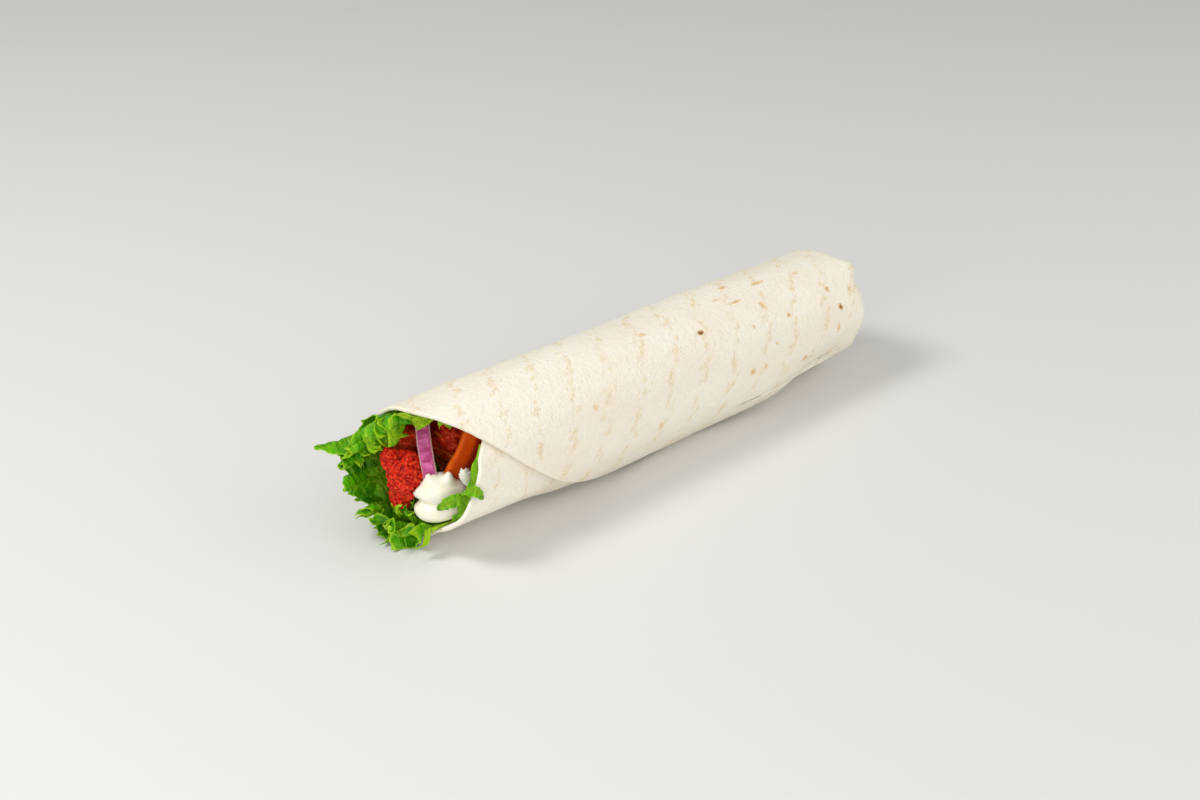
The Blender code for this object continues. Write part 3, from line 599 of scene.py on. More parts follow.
def mixed(tree, factor, first, second):
    """A colour between two, each given as numbers or as a socket."""
    first, second = ((*colour, 1.0) if isinstance(colour, tuple) else colour for colour in (first, second))
    return node(tree, "ShaderNodeMix", {0: factor, 6: first, 7: second}, data_type="RGBA").outputs[2]


def attribute(tree, name):
    """A piece's own attribute, as a vector socket and its three numbers."""
    vector = node(tree, "ShaderNodeAttribute", attribute_name=name).outputs["Vector"]
    parts = node(tree, "ShaderNodeSeparateXYZ", {0: vector})
    return vector, [Field(tree, socket) for socket in parts.outputs]


def object_place(tree):
    return tree.nodes.new("ShaderNodeTexCoord").outputs["Object"]


def vector_of(tree, *parts):
    return node(tree, "ShaderNodeCombineXYZ", dict(enumerate(parts))).outputs[0]


def fade(tree, value, start, end):
    """0 at start to 1 at end, softly."""
    made = node(tree, "ShaderNodeMapRange", {"Value": value, "From Min": start, "From Max": end},
                interpolation_type="SMOOTHSTEP")
    return Field(tree, made.outputs[0])


def patches_group():
    """Noise cut to soft-edged patches of a given size, from 0 to 1."""
    tree, given, out = new_tree("patches", "ShaderNodeTree", [
        ("Place", "Vector", None), ("Patch Size", "Float", 5.0 * MM), ("Detail", "Float", 2.0),
        ("Start", "Float", 0.4), ("Full", "Float", 0.6)], [("Mask", "Float")])
    noisy = node(tree, "ShaderNodeTexNoise", {
        "Vector": given.outputs["Place"], "Scale": 1.0 / Field(tree, given.outputs["Patch Size"]),
        "Detail": given.outputs["Detail"]})
    mask = fade(tree, noisy, given.outputs["Start"], given.outputs["Full"])
    tree.links.new(mask.socket, out.inputs[0])
    return tree


def relief_group():
    """Height in metres of a surface with coarse lumps and fine grain."""
    tree, given, out = new_tree("relief", "ShaderNodeTree", [
        ("Place", "Vector", None), ("Lump Size", "Float", 3.0 * MM), ("Lump Height", "Float", 0.1 * MM),
        ("Grain Size", "Float", 0.5 * MM), ("Grain Height", "Float", 0.02 * MM)], [("Height", "Float")])
    total = 0.0
    for size, height in (("Lump Size", "Lump Height"), ("Grain Size", "Grain Height")):
        noisy = node(tree, "ShaderNodeTexNoise", {
            "Vector": given.outputs["Place"], "Scale": 1.0 / Field(tree, given.outputs[size]), "Detail": 2.0})
        total = Field(tree, noisy.outputs[0]) * Field(tree, given.outputs[height]) + total
    tree.links.new(total.socket, out.inputs[0])
    return tree


SCORCH_RAGGED, SCORCH_RAGGED_SCALE = 0.9, 900.0
SCORCH_CORE, SCORCH_REACH = 0.1, 1.15


def scorch_group():
    """One toasted spot on the sheet, 1 in its middle and ragged at its edge."""
    tree, given, out = new_tree("scorch", "ShaderNodeTree", [
        ("Place", "Vector", None), ("Middle", "Vector", None), ("Half Round", "Float", MM),
        ("Half Along", "Float", MM)], [("Mask", "Float")])
    away = node(tree, "ShaderNodeVectorMath", {0: given.outputs["Place"], 1: given.outputs["Middle"]},
                operation="SUBTRACT")
    parts = node(tree, "ShaderNodeSeparateXYZ", {0: away})
    across = Field(tree, parts.outputs[0]) / Field(tree, given.outputs["Half Round"])
    along = Field(tree, parts.outputs[1]) / Field(tree, given.outputs["Half Along"])
    noisy = node(tree, "ShaderNodeTexNoise", {"Vector": given.outputs["Place"], "Scale": SCORCH_RAGGED_SCALE,
                                              "Detail": 1.0})
    ragged = (Field(tree, noisy.outputs[0]) - 0.5) * SCORCH_RAGGED
    distance = calc("SQRT", across * across + along * along) + ragged
    tree.links.new((1.0 - fade(tree, distance, SCORCH_CORE, SCORCH_REACH)).socket, out.inputs[0])
    return tree


PATCHES, RELIEF, SCORCH = patches_group(), relief_group(), scorch_group()


def group(tree, of, **values):
    """Places a group in a material. Its values are named after its inputs."""
    made = node(tree, "ShaderNodeGroup", spaced(values), node_tree=of)
    return Field(tree, made.outputs[0])


def patches(tree, place, size, start, full, detail=2.0):
    """Soft-edged patches of a size in mm, between two levels of the noise."""
    return group(tree, PATCHES, Place=place, Patch_Size=size * MM, Detail=detail, Start=start, Full=full)


def lumpy(tree, place, lumps, grain):
    """Height of lumps and of grain, each given as size and height in mm."""
    return group(tree, RELIEF, Place=place, Lump_Size=lumps[0] * MM, Lump_Height=lumps[1] * MM,
                 Grain_Size=grain[0] * MM, Grain_Height=grain[1] * MM)


def bumped(tree, shader, height):
    """Lets the light see a height, given in metres."""
    relief = node(tree, "ShaderNodeBump", {"Height": height, "Distance": 1.0})
    tree.links.new(relief.outputs[0], shader.inputs["Normal"])


# Toasted spots on the tortilla: place and then half size, each round and along the sheet in mm; darkness
SPOTS = (
    (97.0, 39.1, 1.0, 1.5, 1.0), (109.4, 111.9, 1.4, 1.1, 0.85), (104.0, 84.1, 1.0, 1.0, 0.6),
    (100.1, 109.1, 1.3, 1.1, 0.6), (103.0, 64.6, 0.9, 0.9, 0.4), (119.9, 57.5, 1.3, 1.5, 0.55),
    (119.8, 64.9, 1.2, 0.9, 0.45), (125.6, 89.4, 1.2, 1.8, 0.5), (117.5, 109.0, 2.0, 0.9, 0.45),
    (103.7, 120.1, 1.2, 0.8, 0.4), (95.8, 74.4, 1.9, 1.0, 0.5), (90.0, 64.2, 0.7, 2.8, 0.55),
    (85.5, 57.7, 0.7, 2.4, 0.35), (79.9, 66.5, 0.8, 1.9, 0.5), (85.0, 81.3, 1.0, 3.4, 0.5),
    (88.6, 15.0, 0.9, 2.0, 0.4), (87.5, 101.0, 1.2, 1.4, 0.35), (107.9, -22.4, 1.2, 1.3, 0.35),
    (125.3, 7.7, 1.7, 1.1, 0.35), (125.6, -59.5, 1.0, 0.8, 0.45), (112.7, 72.9, 0.6, 0.6, 0.45),
)
SPOT_SPREAD = 1.5
# The pale toasted bands that slope round the sheet
BAND_SPACING, BAND_START, BAND_SLOPE, BAND_SWAY = 17.0 * MM, 6.3 * MM, 0.52, 7.0 * MM
BAND_CORE, BAND_REACH, BAND_GAIN, STROKE_STRETCH = 0.8 * MM, 5.4 * MM, 0.27, 0.75


def flour_tortilla():
    """Soft floury bread with sloping toasted bands and a few scorched spots."""
    made, tree, shader = finish_of(
        "flour_tortilla", Subsurface_Weight=0.12, Subsurface_Radius=(1.0, 0.7, 0.45),
        Subsurface_Scale=3.0 * MM, Specular_IOR_Level=0.3)
    sheet, (round_it, along, _) = attribute(tree, "sheet")
    place = object_place(tree)
    slope = along + round_it * BAND_SLOPE
    stroke = vector_of(tree, slope, round_it * STROKE_STRETCH, 0.0)
    sway = patches(tree, sheet, 26.0, 0.0, 1.0)
    phase = (slope - BAND_START + (sway - 0.5) * BAND_SWAY) / BAND_SPACING
    from_band = calc("ABSOLUTE", calc("FLOORED_MODULO", phase + 0.5, 1.0) - 0.5) * BAND_SPACING
    gain = BAND_GAIN * (1.0 - fade(tree, from_band, BAND_CORE, BAND_REACH))
    blotches = patches(tree, stroke, 3.2, 0.70 - gain, 0.90 - gain, 5.0)
    speckled = patches(tree, sheet, 1.0, 0.40, 0.60, 3.0)
    toasted = blotches * (0.15 + 0.85 * speckled)
    stray = patches(tree, sheet, 1.9, 0.62, 0.76, 3.0)
    colour = mixed(tree, patches(tree, sheet, 34.0, 0.35, 0.65), DOUGH, DOUGH_DEEPER)
    colour = mixed(tree, patches(tree, sheet, 0.8, 0.4, 0.65, 3.0) * 0.5, colour, DOUGH_GRAIN)
    colour = mixed(tree, most(toasted * 0.9, stray * 0.4), colour, TOASTED)
    scorched = 0.0
    for round_mm, along_mm, half_round, half_along, dark in SPOTS:
        spot = group(tree, SCORCH, Place=sheet, Middle=(round_mm * MM, along_mm * MM, 0.0),
                     Half_Round=SPOT_SPREAD * half_round * MM, Half_Along=SPOT_SPREAD * half_along * MM)
        scorched = most(spot * dark, scorched)
    colour = mixed(tree, fade(tree, scorched, 0.0, 0.5) * 0.85, colour, TANNED)
    colour = mixed(tree, fade(tree, scorched, 0.42, 0.9), colour, CHARRED)
    to_shader(tree, shader, "Base Color", colour)
    to_shader(tree, shader, "Roughness", 0.62 + 0.16 * patches(tree, place, 4.0, 0.3, 0.7) - 0.12 * scorched)
    height = lumpy(tree, place, lumps=(2.4, 0.45), grain=(0.9, 0.28))
    bumped(tree, shader, height + toasted * (0.05 * MM) - scorched * (0.08 * MM))
    return made


VEIN_SPACINGS, VEIN_WIDTH = (6.5 * MM, 2.4 * MM), 0.09
VEIN_BEND, VEIN_BEND_SCALE = 3.0 * MM, 160.0
INSIDE_FROM, INSIDE_TO = 98.0 * MM, 88.0 * MM  # towards the mouth, where the inner green fades in


def green_leaf():
    """Crisp lettuce: bright waxy green, pale ribs, yellow-green thin edges that are partly a painted
    highlight, painted highlights on the crests of its folds and painted shade in their hollows.
    """
    made, tree, shader = finish_of(
        "green_leaf", Subsurface_Weight=0.25, Subsurface_Radius=(0.35, 1.0, 0.08), Subsurface_Scale=1.6 * MM,
        Specular_IOR_Level=0.36, Specular_Tint=(0.8, 1.0, 0.35, 1.0))
    leaf, (_, outward, _) = attribute(tree, "leaf")
    _, (frill, crest, tip) = attribute(tree, "frill")
    warp = node(tree, "ShaderNodeTexNoise", {"Vector": leaf, "Scale": VEIN_BEND_SCALE, "Detail": 1.0})
    bent = node(tree, "ShaderNodeVectorMath", {0: warp.outputs["Color"], 1: (VEIN_BEND,) * 3, 2: leaf},
                operation="MULTIPLY_ADD")
    veins = []
    for size in VEIN_SPACINGS:
        cell = node(tree, "ShaderNodeTexVoronoi", {"Vector": bent, "Scale": 1.0 / size},
                    feature="DISTANCE_TO_EDGE")
        veins.append(1.0 - fade(tree, cell.outputs["Distance"], 0.0, VEIN_WIDTH))
    inside = fade(tree, outward, INSIDE_FROM, INSIDE_TO) * fade(tree, frill, 0.9, 0.5)
    crest_highlight = fade(tree, crest, 0.0, 0.9) * fade(tree, frill, 0.25, 0.9)
    veined = most(veins[0] * 0.5, veins[1] * 0.22) * (1.0 - 0.5 * frill)
    body = mixed(tree, patches(tree, leaf, 7.0, 0.35, 0.65), LEAF_GREEN, LEAF_BRIGHT)
    # painted light: highlights on the fold crests and the thin edges, shade in the fold hollows
    for share, colour in ((inside * 0.8, LEAF_INSIDE), (crest_highlight, LEAF_CREST_HIGHLIGHT),
                          (fade(tree, crest, 0.0, -1.0) * 0.85, LEAF_HOLLOW_SHADE), (veined, LEAF_VEIN),
                          (fade(tree, tip, 0.4, 1.0) * 0.6, LEAF_EDGE)):
        body = mixed(tree, share, body, colour)
    to_shader(tree, shader, "Base Color", body)
    to_shader(tree, shader, "Roughness", 0.24 + 0.2 * patches(tree, leaf, 2.0, 0.3, 0.7))
    height = lumpy(tree, leaf, lumps=(1.9, 1.1), grain=(0.8, 0.25))
    bumped(tree, shader, height - veins[0] * (0.16 * MM) - veins[1] * (0.06 * MM))
    return made


# The chicken on the chunk, its grains and the chicken behind, as the finish below takes them. The chicken
# behind is a darker copy of the same chicken, painted shade for its place deep in the mouth
COATED = {"light": (0.82, 0.020, 0.006), "deep": (0.58, 0.006, 0.003), "gloss": 0.08}
GRAINY = {"light": (0.80, 0.045, 0.014), "deep": (0.62, 0.012, 0.005), "gloss": 0.05}
SHADED = {"light": (0.62, 0.022, 0.003), "deep": (0.32, 0.003, 0.001), "gloss": 0.04, "streaky": 0.5}
STREAK_STRETCH = (1.0, 0.45, 2.6)


def spiced_chicken(name, light, deep, gloss, streaky=0.0):
    """Moist chicken under a grainy red spice coating, darker in its hollows by painted shade, with lighter
    spice grains on its raised tops that are partly a painted highlight, and oily in streaks.
    """
    made, tree, shader = finish_of(
        name, Subsurface_Weight=0.1, Subsurface_Radius=(1.0, 0.2, 0.1), Subsurface_Scale=1.5 * MM,
        Coat_Weight=gloss, Coat_Roughness=0.2, Specular_IOR_Level=0.18, Specular_Tint=(1.0, 0.5, 0.35, 1.0))
    place = object_place(tree)
    _, (raised, _, _) = attribute(tree, "bump")
    grains = patches(tree, place, 1.1, 0.45, 0.65, 3.0)
    parts = node(tree, "ShaderNodeSeparateXYZ", {0: place}).outputs
    streak = vector_of(tree, *(Field(tree, part) * share for part, share in zip(parts, STREAK_STRETCH)))
    colour = mixed(tree, patches(tree, place, 5.0, 0.35, 0.65, 3.0), deep, light)
    # painted shade in the hollows; the grains on the raised tops are partly a painted highlight
    colour = mixed(tree, fade(tree, raised, 0.3, -0.5) * 0.9, colour, tuple(HOLLOW_SHADE * c for c in deep))
    colour = mixed(tree, grains * fade(tree, raised, -0.3, 0.6) * 0.7, colour, SPICE_GRAIN_AND_HIGHLIGHT)
    colour = mixed(tree, patches(tree, streak, 6.0, 0.56, 0.66, 3.0) * streaky, colour, OIL_STREAK)
    to_shader(tree, shader, "Base Color", colour)
    to_shader(tree, shader, "Roughness", 0.42 - 0.12 * grains)
    bumped(tree, shader, lumpy(tree, place, lumps=(1.3, 0.35), grain=(0.45, 0.1)))
    return made


def cut_onion():
    """A slice of red onion: purple-pink flesh with fine lines across it and pale edges of skin."""
    made, tree, shader = finish_of(
        "cut_onion", Subsurface_Weight=0.2, Subsurface_Radius=(1.0, 0.4, 0.6), Subsurface_Scale=1.5 * MM,
        Specular_IOR_Level=0.35)
    _, (along, across, side) = attribute(tree, "strip")
    stretched = vector_of(tree, along, across * (0.9 * MM), side)
    lines = patches(tree, stretched, 0.8, 0.45, 0.7, 3.0)
    colour = mixed(tree, patches(tree, stretched, 2.8, 0.35, 0.65), ONION_PALE, ONION_DEEP)
    colour = mixed(tree, lines * 0.5, colour, ONION_LINE)
    for start, full in ((0.72, 0.98), (-0.78, -0.98)):
        colour = mixed(tree, fade(tree, across, start, full) * 0.85, colour, ONION_SKIN)
    to_shader(tree, shader, "Base Color", colour)
    to_shader(tree, shader, "Roughness", 0.3 + 0.15 * lines)
    bumped(tree, shader, lumpy(tree, stretched, lumps=(1.4, 0.12), grain=(0.5, 0.03)))
    return made


def cooked_pepper():
    """A strip of pepper: orange-brown flesh, with painted shade making one side dark red."""
    made, tree, shader = finish_of(
        "cooked_pepper", Subsurface_Weight=0.15, Subsurface_Radius=(1.0, 0.3, 0.05),
        Subsurface_Scale=1.5 * MM, Specular_IOR_Level=0.3, Specular_Tint=(1.0, 0.6, 0.35, 1.0))
    _, (_, across, _) = attribute(tree, "strip")
    place = object_place(tree)
    patch = patches(tree, place, 3.5, 0.3, 0.7)
    colour = mixed(tree, patch, PEPPER_FLESH, PEPPER_DEEP)
    # painted shade: one side of the strip goes dark red
    colour = mixed(tree, fade(tree, across, 0.1, -0.5), colour, PEPPER_SHADED_SIDE)
    colour = mixed(tree, fade(tree, across, 0.75, 1.0) * 0.5, colour, PEPPER_EDGE)
    to_shader(tree, shader, "Base Color", colour)
    to_shader(tree, shader, "Roughness", 0.25 + 0.12 * patch)
    bumped(tree, shader, lumpy(tree, place, lumps=(2.5, 0.1), grain=(0.5, 0.01)))
    return made


def white_dressing():
    """Thick, glossy white sauce, a little yellower in its grooves, where that yellow-green is painted shade.
    """
    made, tree, shader = finish_of(
        "white_dressing", Subsurface_Weight=0.3, Subsurface_Radius=(1.0, 0.85, 0.5),
        Subsurface_Scale=2.5 * MM, Coat_Weight=0.4, Coat_Roughness=0.1)
    place = object_place(tree)
    _, (raised, _, _) = attribute(tree, "bump")
    patch = patches(tree, place, 4.0, 0.3, 0.7)
    colour = mixed(tree, patch, SAUCE_WHITE, SAUCE_CREAM)
    # painted shade: the grooves between the pillows go yellow-green
    colour = mixed(tree, fade(tree, raised, 0.0, -0.9), colour, SAUCE_GROOVE_SHADE)
    to_shader(tree, shader, "Base Color", colour)
    to_shader(tree, shader, "Roughness", 0.22 + 0.1 * patch)
    bumped(tree, shader, lumpy(tree, place, lumps=(3.0, 0.12), grain=(0.9, 0.01)))
    return made


# ------------------------------------------------- lettuce

def mark(mesh, name, values):
    """Stores a vector for each point of a mesh, which its finish reads."""
    made = mesh.attributes.new(name, "FLOAT_VECTOR", "POINT")
    made.data.foreach_set("vector", np.asarray(values, np.float32).ravel())


def unit(vectors):
    return vectors / np.maximum(np.linalg.norm(vectors, axis=-1, keepdims=True), 1e-12)


def leaf_solid(name, middle, half, marks, material):
    """A thin closed solid round a grid of middle points, from half its thickness at each."""
    rows, columns = middle.shape[:2]
    count = rows * columns
    normal = unit(np.cross(np.gradient(middle, axis=0), np.gradient(middle, axis=1)))
    points = np.concatenate([(middle + normal * half[..., None]).reshape(-1, 3),
                             (middle - normal * half[..., None]).reshape(-1, 3)])
    index = np.arange(count).reshape(rows, columns)
    a, b, c, d = (part.ravel() for part in (index[:-1, :-1], index[1:, :-1], index[1:, 1:], index[:-1, 1:]))
    edge = np.concatenate([index[:, 0], index[-1, 1:], index[-2::-1, -1], index[0, -2:0:-1]])
    ahead = np.roll(edge, -1)
    faces = np.concatenate([np.stack([a, b, c, d], 1), np.stack([a, d, c, b], 1) + count,
                            np.stack([ahead, edge, edge + count, ahead + count], 1)])
    mesh = bpy.data.meshes.new(name)
    mesh.from_pydata(points.tolist(), [], faces.tolist())
    for label, values in marks.items():
        mark(mesh, label, np.concatenate([values.reshape(-1, 3)] * 2))
    mesh.materials.append(material)
    bm = bmesh.new()
    bm.from_mesh(mesh)
    bmesh.ops.recalc_face_normals(bm, faces=bm.faces)
    bm.to_mesh(mesh)
    bm.free()
    mesh.shade_smooth()
    return placed(name, mesh)


CLEAR, LEAF = 0.3 * MM, 0.7 * MM  # a leaf's distance from the tortilla, and its thickness
LEAF_START, LEAF_LIMIT = -58.0 * MM, 27.8 * MM
RUFFLES, RUFFLE_START = 12.0, 0.45
LEAF_LOBE, TOOTH_STEP = 5.0 * MM, 3.2 * MM
COLUMNS_A_DEGREE, ROWS_INSIDE, ROWS_OUTSIDE = 2.7, 10, 40
RIM_COVER = 1.5 * MM  # how far inside the rim the loose part of a leaf starts
CURL_AHEAD, CURL_IN = 0.9 * MM, 1.2 * MM
CRIMP_IN, CRIMP_ROUND = 0.55 * MM, 0.45 * MM
LOOSE_RUN = 8.0 * MM
LEAF_STIR, BAND_STIR = ((6.0, 1.3), (2.2, 0.5)), ((5.0, 1.5), (2.0, 0.6))  # sizes and strengths in mm
LEAF_EDGE_WIDTH, BAND_EDGE_WIDTH = 0.9 * MM, 0.8 * MM

# The two lining leaves, from their first angle to their last: reach and ruffle as (angle, mm), points as
# (angle, half width, mm) and spikes as (angle, half width, mm, share that points outwards)
BACK_LEAF = {
    "first": 4.0, "last": -146.0, "phase": 3.57,
    "reach": ((4.0, -87.1), (-20.0, -92.1), (-45.0, -96.1), (-60.0, -105.1), (-80.0, -104.1),
              (-110.0, -102.1), (-146.0, -99.6)),
    "ruffle": ((4.0, 3.5), (-20.0, 5.5), (-50.0, 5.5), (-75.0, 3.4), (-95.0, 2.2), (-125.0, 2.2),
               (-146.0, 3.4)),
    "points": ((-67.5, 4.6, 8.6), (-66.0, 10.0, 2.2), (-108.2, 7.2, 4.2), (-137.2, 7.3, 1.2)),
    "spikes": ((-9.0, 3.0, 1.5, 0.3), (-39.0, 1.6, 1.6, 0.9), (-47.0, 1.8, 2.6, 0.6), (-58.0, 3.5, 3.0, 0.2),
               (-74.0, 3.0, 2.5, 0.4), (-95.0, 4.0, 4.2, 0.0), (-102.0, 3.0, 2.0, 0.0),
               (-118.0, 3.0, 2.2, 0.0), (-137.0, 4.0, 3.5, 0.0)),
}
UNDER_LEAF = {
    "first": -134.0, "last": -230.0, "phase": 3.1,
    "reach": ((-134.0, -98.6), (-141.2, -99.6), (-175.0, -97.6), (-200.0, -94.6), (-230.0, -89.6)),
    "ruffle": ((-134.0, 3.8), (-185.0, 5.0), (-230.0, 3.4)),
    "points": ((-165.5, 8.5, 4.5), (-194.0, 10.9, 1.2)),
    "spikes": ((-145.0, 3.0, 2.5, 0.0), (-166.0, 5.0, 4.0, 0.0), (-178.0, 3.0, 2.5, 0.0),
               (-187.0, 3.5, 5.2, 0.0), (-204.0, 2.8, 6.0, 0.0), (-214.0, 2.6, 3.6, 0.0)),
}
# Frilled bands on them: base path as (angle, x, radius), width, lean and curl in degrees, ruffle, wave length
# and seed. A lean of 0 points out of the mouth, 90 away from the axis and -90 towards it.
BACK_FRILLS = (
    (((-9.0, -85.0, 24.4), (-20.0, -88.5, 24.6), (-37.0, -92.5, 24.8), (-52.0, -98.0, 24.6),
      (-66.0, -101.0, 24.0)), 9.5, -25.0, -125.0, 1.5, 6.6, 1.0),
    (((-30.0, -90.0, 23.6), (-48.0, -95.0, 23.0), (-66.0, -99.0, 22.6), (-84.0, -99.5, 22.6)),
     7.5, -50.0, -80.0, 1.7, 5.6, 2.0),
    (((-56.0, -99.0, 24.2), (-68.0, -100.0, 24.2), (-80.0, -100.0, 24.2), (-92.0, -99.0, 24.2)),
     8.0, 4.0, -45.0, 1.3, 8.0, 3.0),
    (((20.0, -76.0, 23.8), (13.0, -77.5, 23.8), (6.0, -79.0, 23.8)), 2.6, -70.0, -30.0, 0.5, 4.0, 10.0),
)
UNDER_FRILLS = (
    (((-143.0, -96.0, 22.4), (-160.0, -97.0, 21.6), (-178.0, -96.0, 20.8), (-196.0, -93.0, 21.6)),
     8.0, -15.0, -70.0, 2.0, 6.2, 4.0),
    (((-146.0, -90.0, 21.4), (-162.0, -91.0, 20.4), (-178.0, -89.5, 19.6), (-192.0, -87.0, 20.4)),
     7.5, -35.0, -70.0, 1.8, 5.6, 5.0),
    (((-148.0, -85.5, 18.5), (-160.0, -87.0, 17.5), (-172.0, -87.5, 17.0)), 6.0, -75.0, -20.0, 1.3, 5.0, 6.0),
    (((-180.0, -89.0, 21.5), (-190.0, -85.0, 22.2), (-200.0, -80.5, 22.8), (-210.0, -76.5, 22.8)),
     6.0, -60.0, 100.0, 1.2, 5.0, 7.0),
)
BAND_COLUMNS, BAND_ROWS = 64, 20  # columns for each stretch of the base path


def between(angle, pairs):
    """Straight interpolation in (angle, millimetres) pairs, whose angles run downwards."""
    return np.interp(-angle, [-a for a, _ in pairs], [value * MM for _, value in pairs])


def teeth(arc, seed):
    """Height of the small pointed teeth along a margin, at a length along it."""
    place = arc / TOOTH_STEP + 0.35 * np.sin(arc / (1.7 * TOOTH_STEP) + seed) + seed
    which = np.floor(place)
    size = 0.5 + 0.5 * np.sin(12.9898 * which + seed)  # another size for each tooth
    point = 1.0 - np.abs(2.0 * (place - which) - 1.0)
    return point ** 2.0 * (0.7 + 3.1 * size ** 2) * MM


def stirred(points, stirs):
    """How far soft random fields move the points, so that folds lose their evenness."""
    flat = points.reshape(-1, 3)
    moves = []
    for size, strength in stirs:
        moved = np.array([noise.noise_vector(Vector(p) / (size * MM)) for p in flat])
        moves.append((moved * (strength * MM)).reshape(points.shape))
    return moves[0] + moves[1]


def spiky(angle, spikes):
    """Length of the long thin spikes of a margin, forwards and outwards, with hollow curves between them."""
    ahead, outward = 0.0 * angle, 0.0 * angle
    for at, wide, length, turned_out in spikes:
        near = length * MM * np.clip(1.0 - np.abs(angle - at) / wide, 0.0, 1.0) ** 1.8
        ahead, outward = ahead + near * (1.0 - turned_out), outward + near * turned_out
    return ahead, outward


def frilly_leaf(name, first, last, phase, reach, ruffle, points, spikes, material):
    """A lettuce leaf lining the tortilla, whose ruffled and spiky margin comes out of the mouth."""
    # the margin, and where the tortilla's rim crosses the leaf
    angle = np.linspace(first, last, int(abs(last - first) * COLUMNS_A_DEGREE))[None, :]
    a = rad(angle)
    wave = RUFFLES * a + phase + 0.9 * np.sin(2.3 * a + phase)
    margin, deep = between(angle, reach), between(angle, ruffle)
    for at, wide, length in points:
        margin = margin - length * MM * bump(angle, at, wide)
    outer = (angle - BOTTOM_ANGLE) % 360.0
    rims = [np.where(on_sheet(turn), roll.rim(turn), FAR_OFF) for turn in (outer, outer - 360.0)]
    rim = np.minimum(*rims) - RIM_COVER

    # rows from inside the roll to the rim, and on to the margin
    step = np.linspace(0.0, 1.0, ROWS_INSIDE)[:, None]
    out = np.concatenate([0.0 * step, np.linspace(0.0, 1.0, ROWS_OUTSIDE + 1)[1:, None]])
    x = np.concatenate([LEAF_START + (rim - LEAF_START) * step, rim + (margin - rim) * out[ROWS_INSIDE:]])
    t = (x - LEAF_START) / (margin - LEAF_START)
    grow = smooth((t - RUFFLE_START) / (1.0 - RUFFLE_START))

    # lobes, spikes and teeth push the rows forwards; folds, curls and crimps move them in and round
    fold = wave + 1.1 * (1.0 - t)
    curl = 2.9 * fold + 1.3 * np.sin(0.7 * wave) + 2.5 * t
    crimp = 7.1 * fold + 2.0 * np.sin(1.9 * wave) - 5.0 * t
    lobe = (0.5 + 0.5 * np.cos(0.93 * wave + 0.4)) ** 2
    ahead, outward = spiky(angle, spikes)
    x = x - out * (LEAF_LOBE * (lobe - 0.4) - 0.3 * deep * np.cos(1.6 * wave + 1.0))
    x = x - out ** 4 * ahead - out ** 8 * teeth(a * roll.radius, phase)
    x = x + grow ** 1.5 * CURL_AHEAD * np.cos(curl)
    radius = roll.radius - grow * deep * (0.9 - np.sin(fold) + 0.2 * np.sin(2.7 * fold))
    radius = radius - grow ** 1.5 * (0.5 + np.sin(curl)) * CURL_IN - grow ** 3 * CRIMP_IN * np.sin(crimp)
    shift = (-grow * (0.3 * deep * np.cos(fold) + 1.0 * MM * np.cos(curl))
             - grow ** 3 * CRIMP_ROUND * np.cos(crimp))
    turned = angle + np.degrees(shift / roll.radius)
    radius = np.minimum(np.minimum(radius, inner_wall(turned, x) - CLEAR - 0.6 * LEAF), LEAF_LIMIT)
    middle = on_roll(turned, x, radius + out ** 10 * outward)
    lowest = floor_level(turned, x) + 0.5 * LEAF
    loose = (smooth((rim - x) / LOOSE_RUN) * out)[..., None]
    middle = middle + loose * stirred(middle, LEAF_STIR)
    middle[..., 2] = np.maximum(middle[..., 2], lowest)

    half = 0.5 * LEAF * (0.75 - 0.45 * out ** 4) + 0.0 * x
    crest = (np.sin(fold) + 0.6 * np.sin(curl) + 0.3 * np.sin(crimp)) / 1.9
    near_edge = smooth(1.0 - (1.0 - out) * (rim - margin) / LEAF_EDGE_WIDTH)
    marks = {"leaf": np.stack([a * roll.radius + 0.0 * x, -x, 0.0 * x], -1),
             "frill": np.stack(np.broadcast_arrays(grow, -crest, near_edge + 0.0 * x), -1)}
    return leaf_solid(name, middle, half, marks, material)


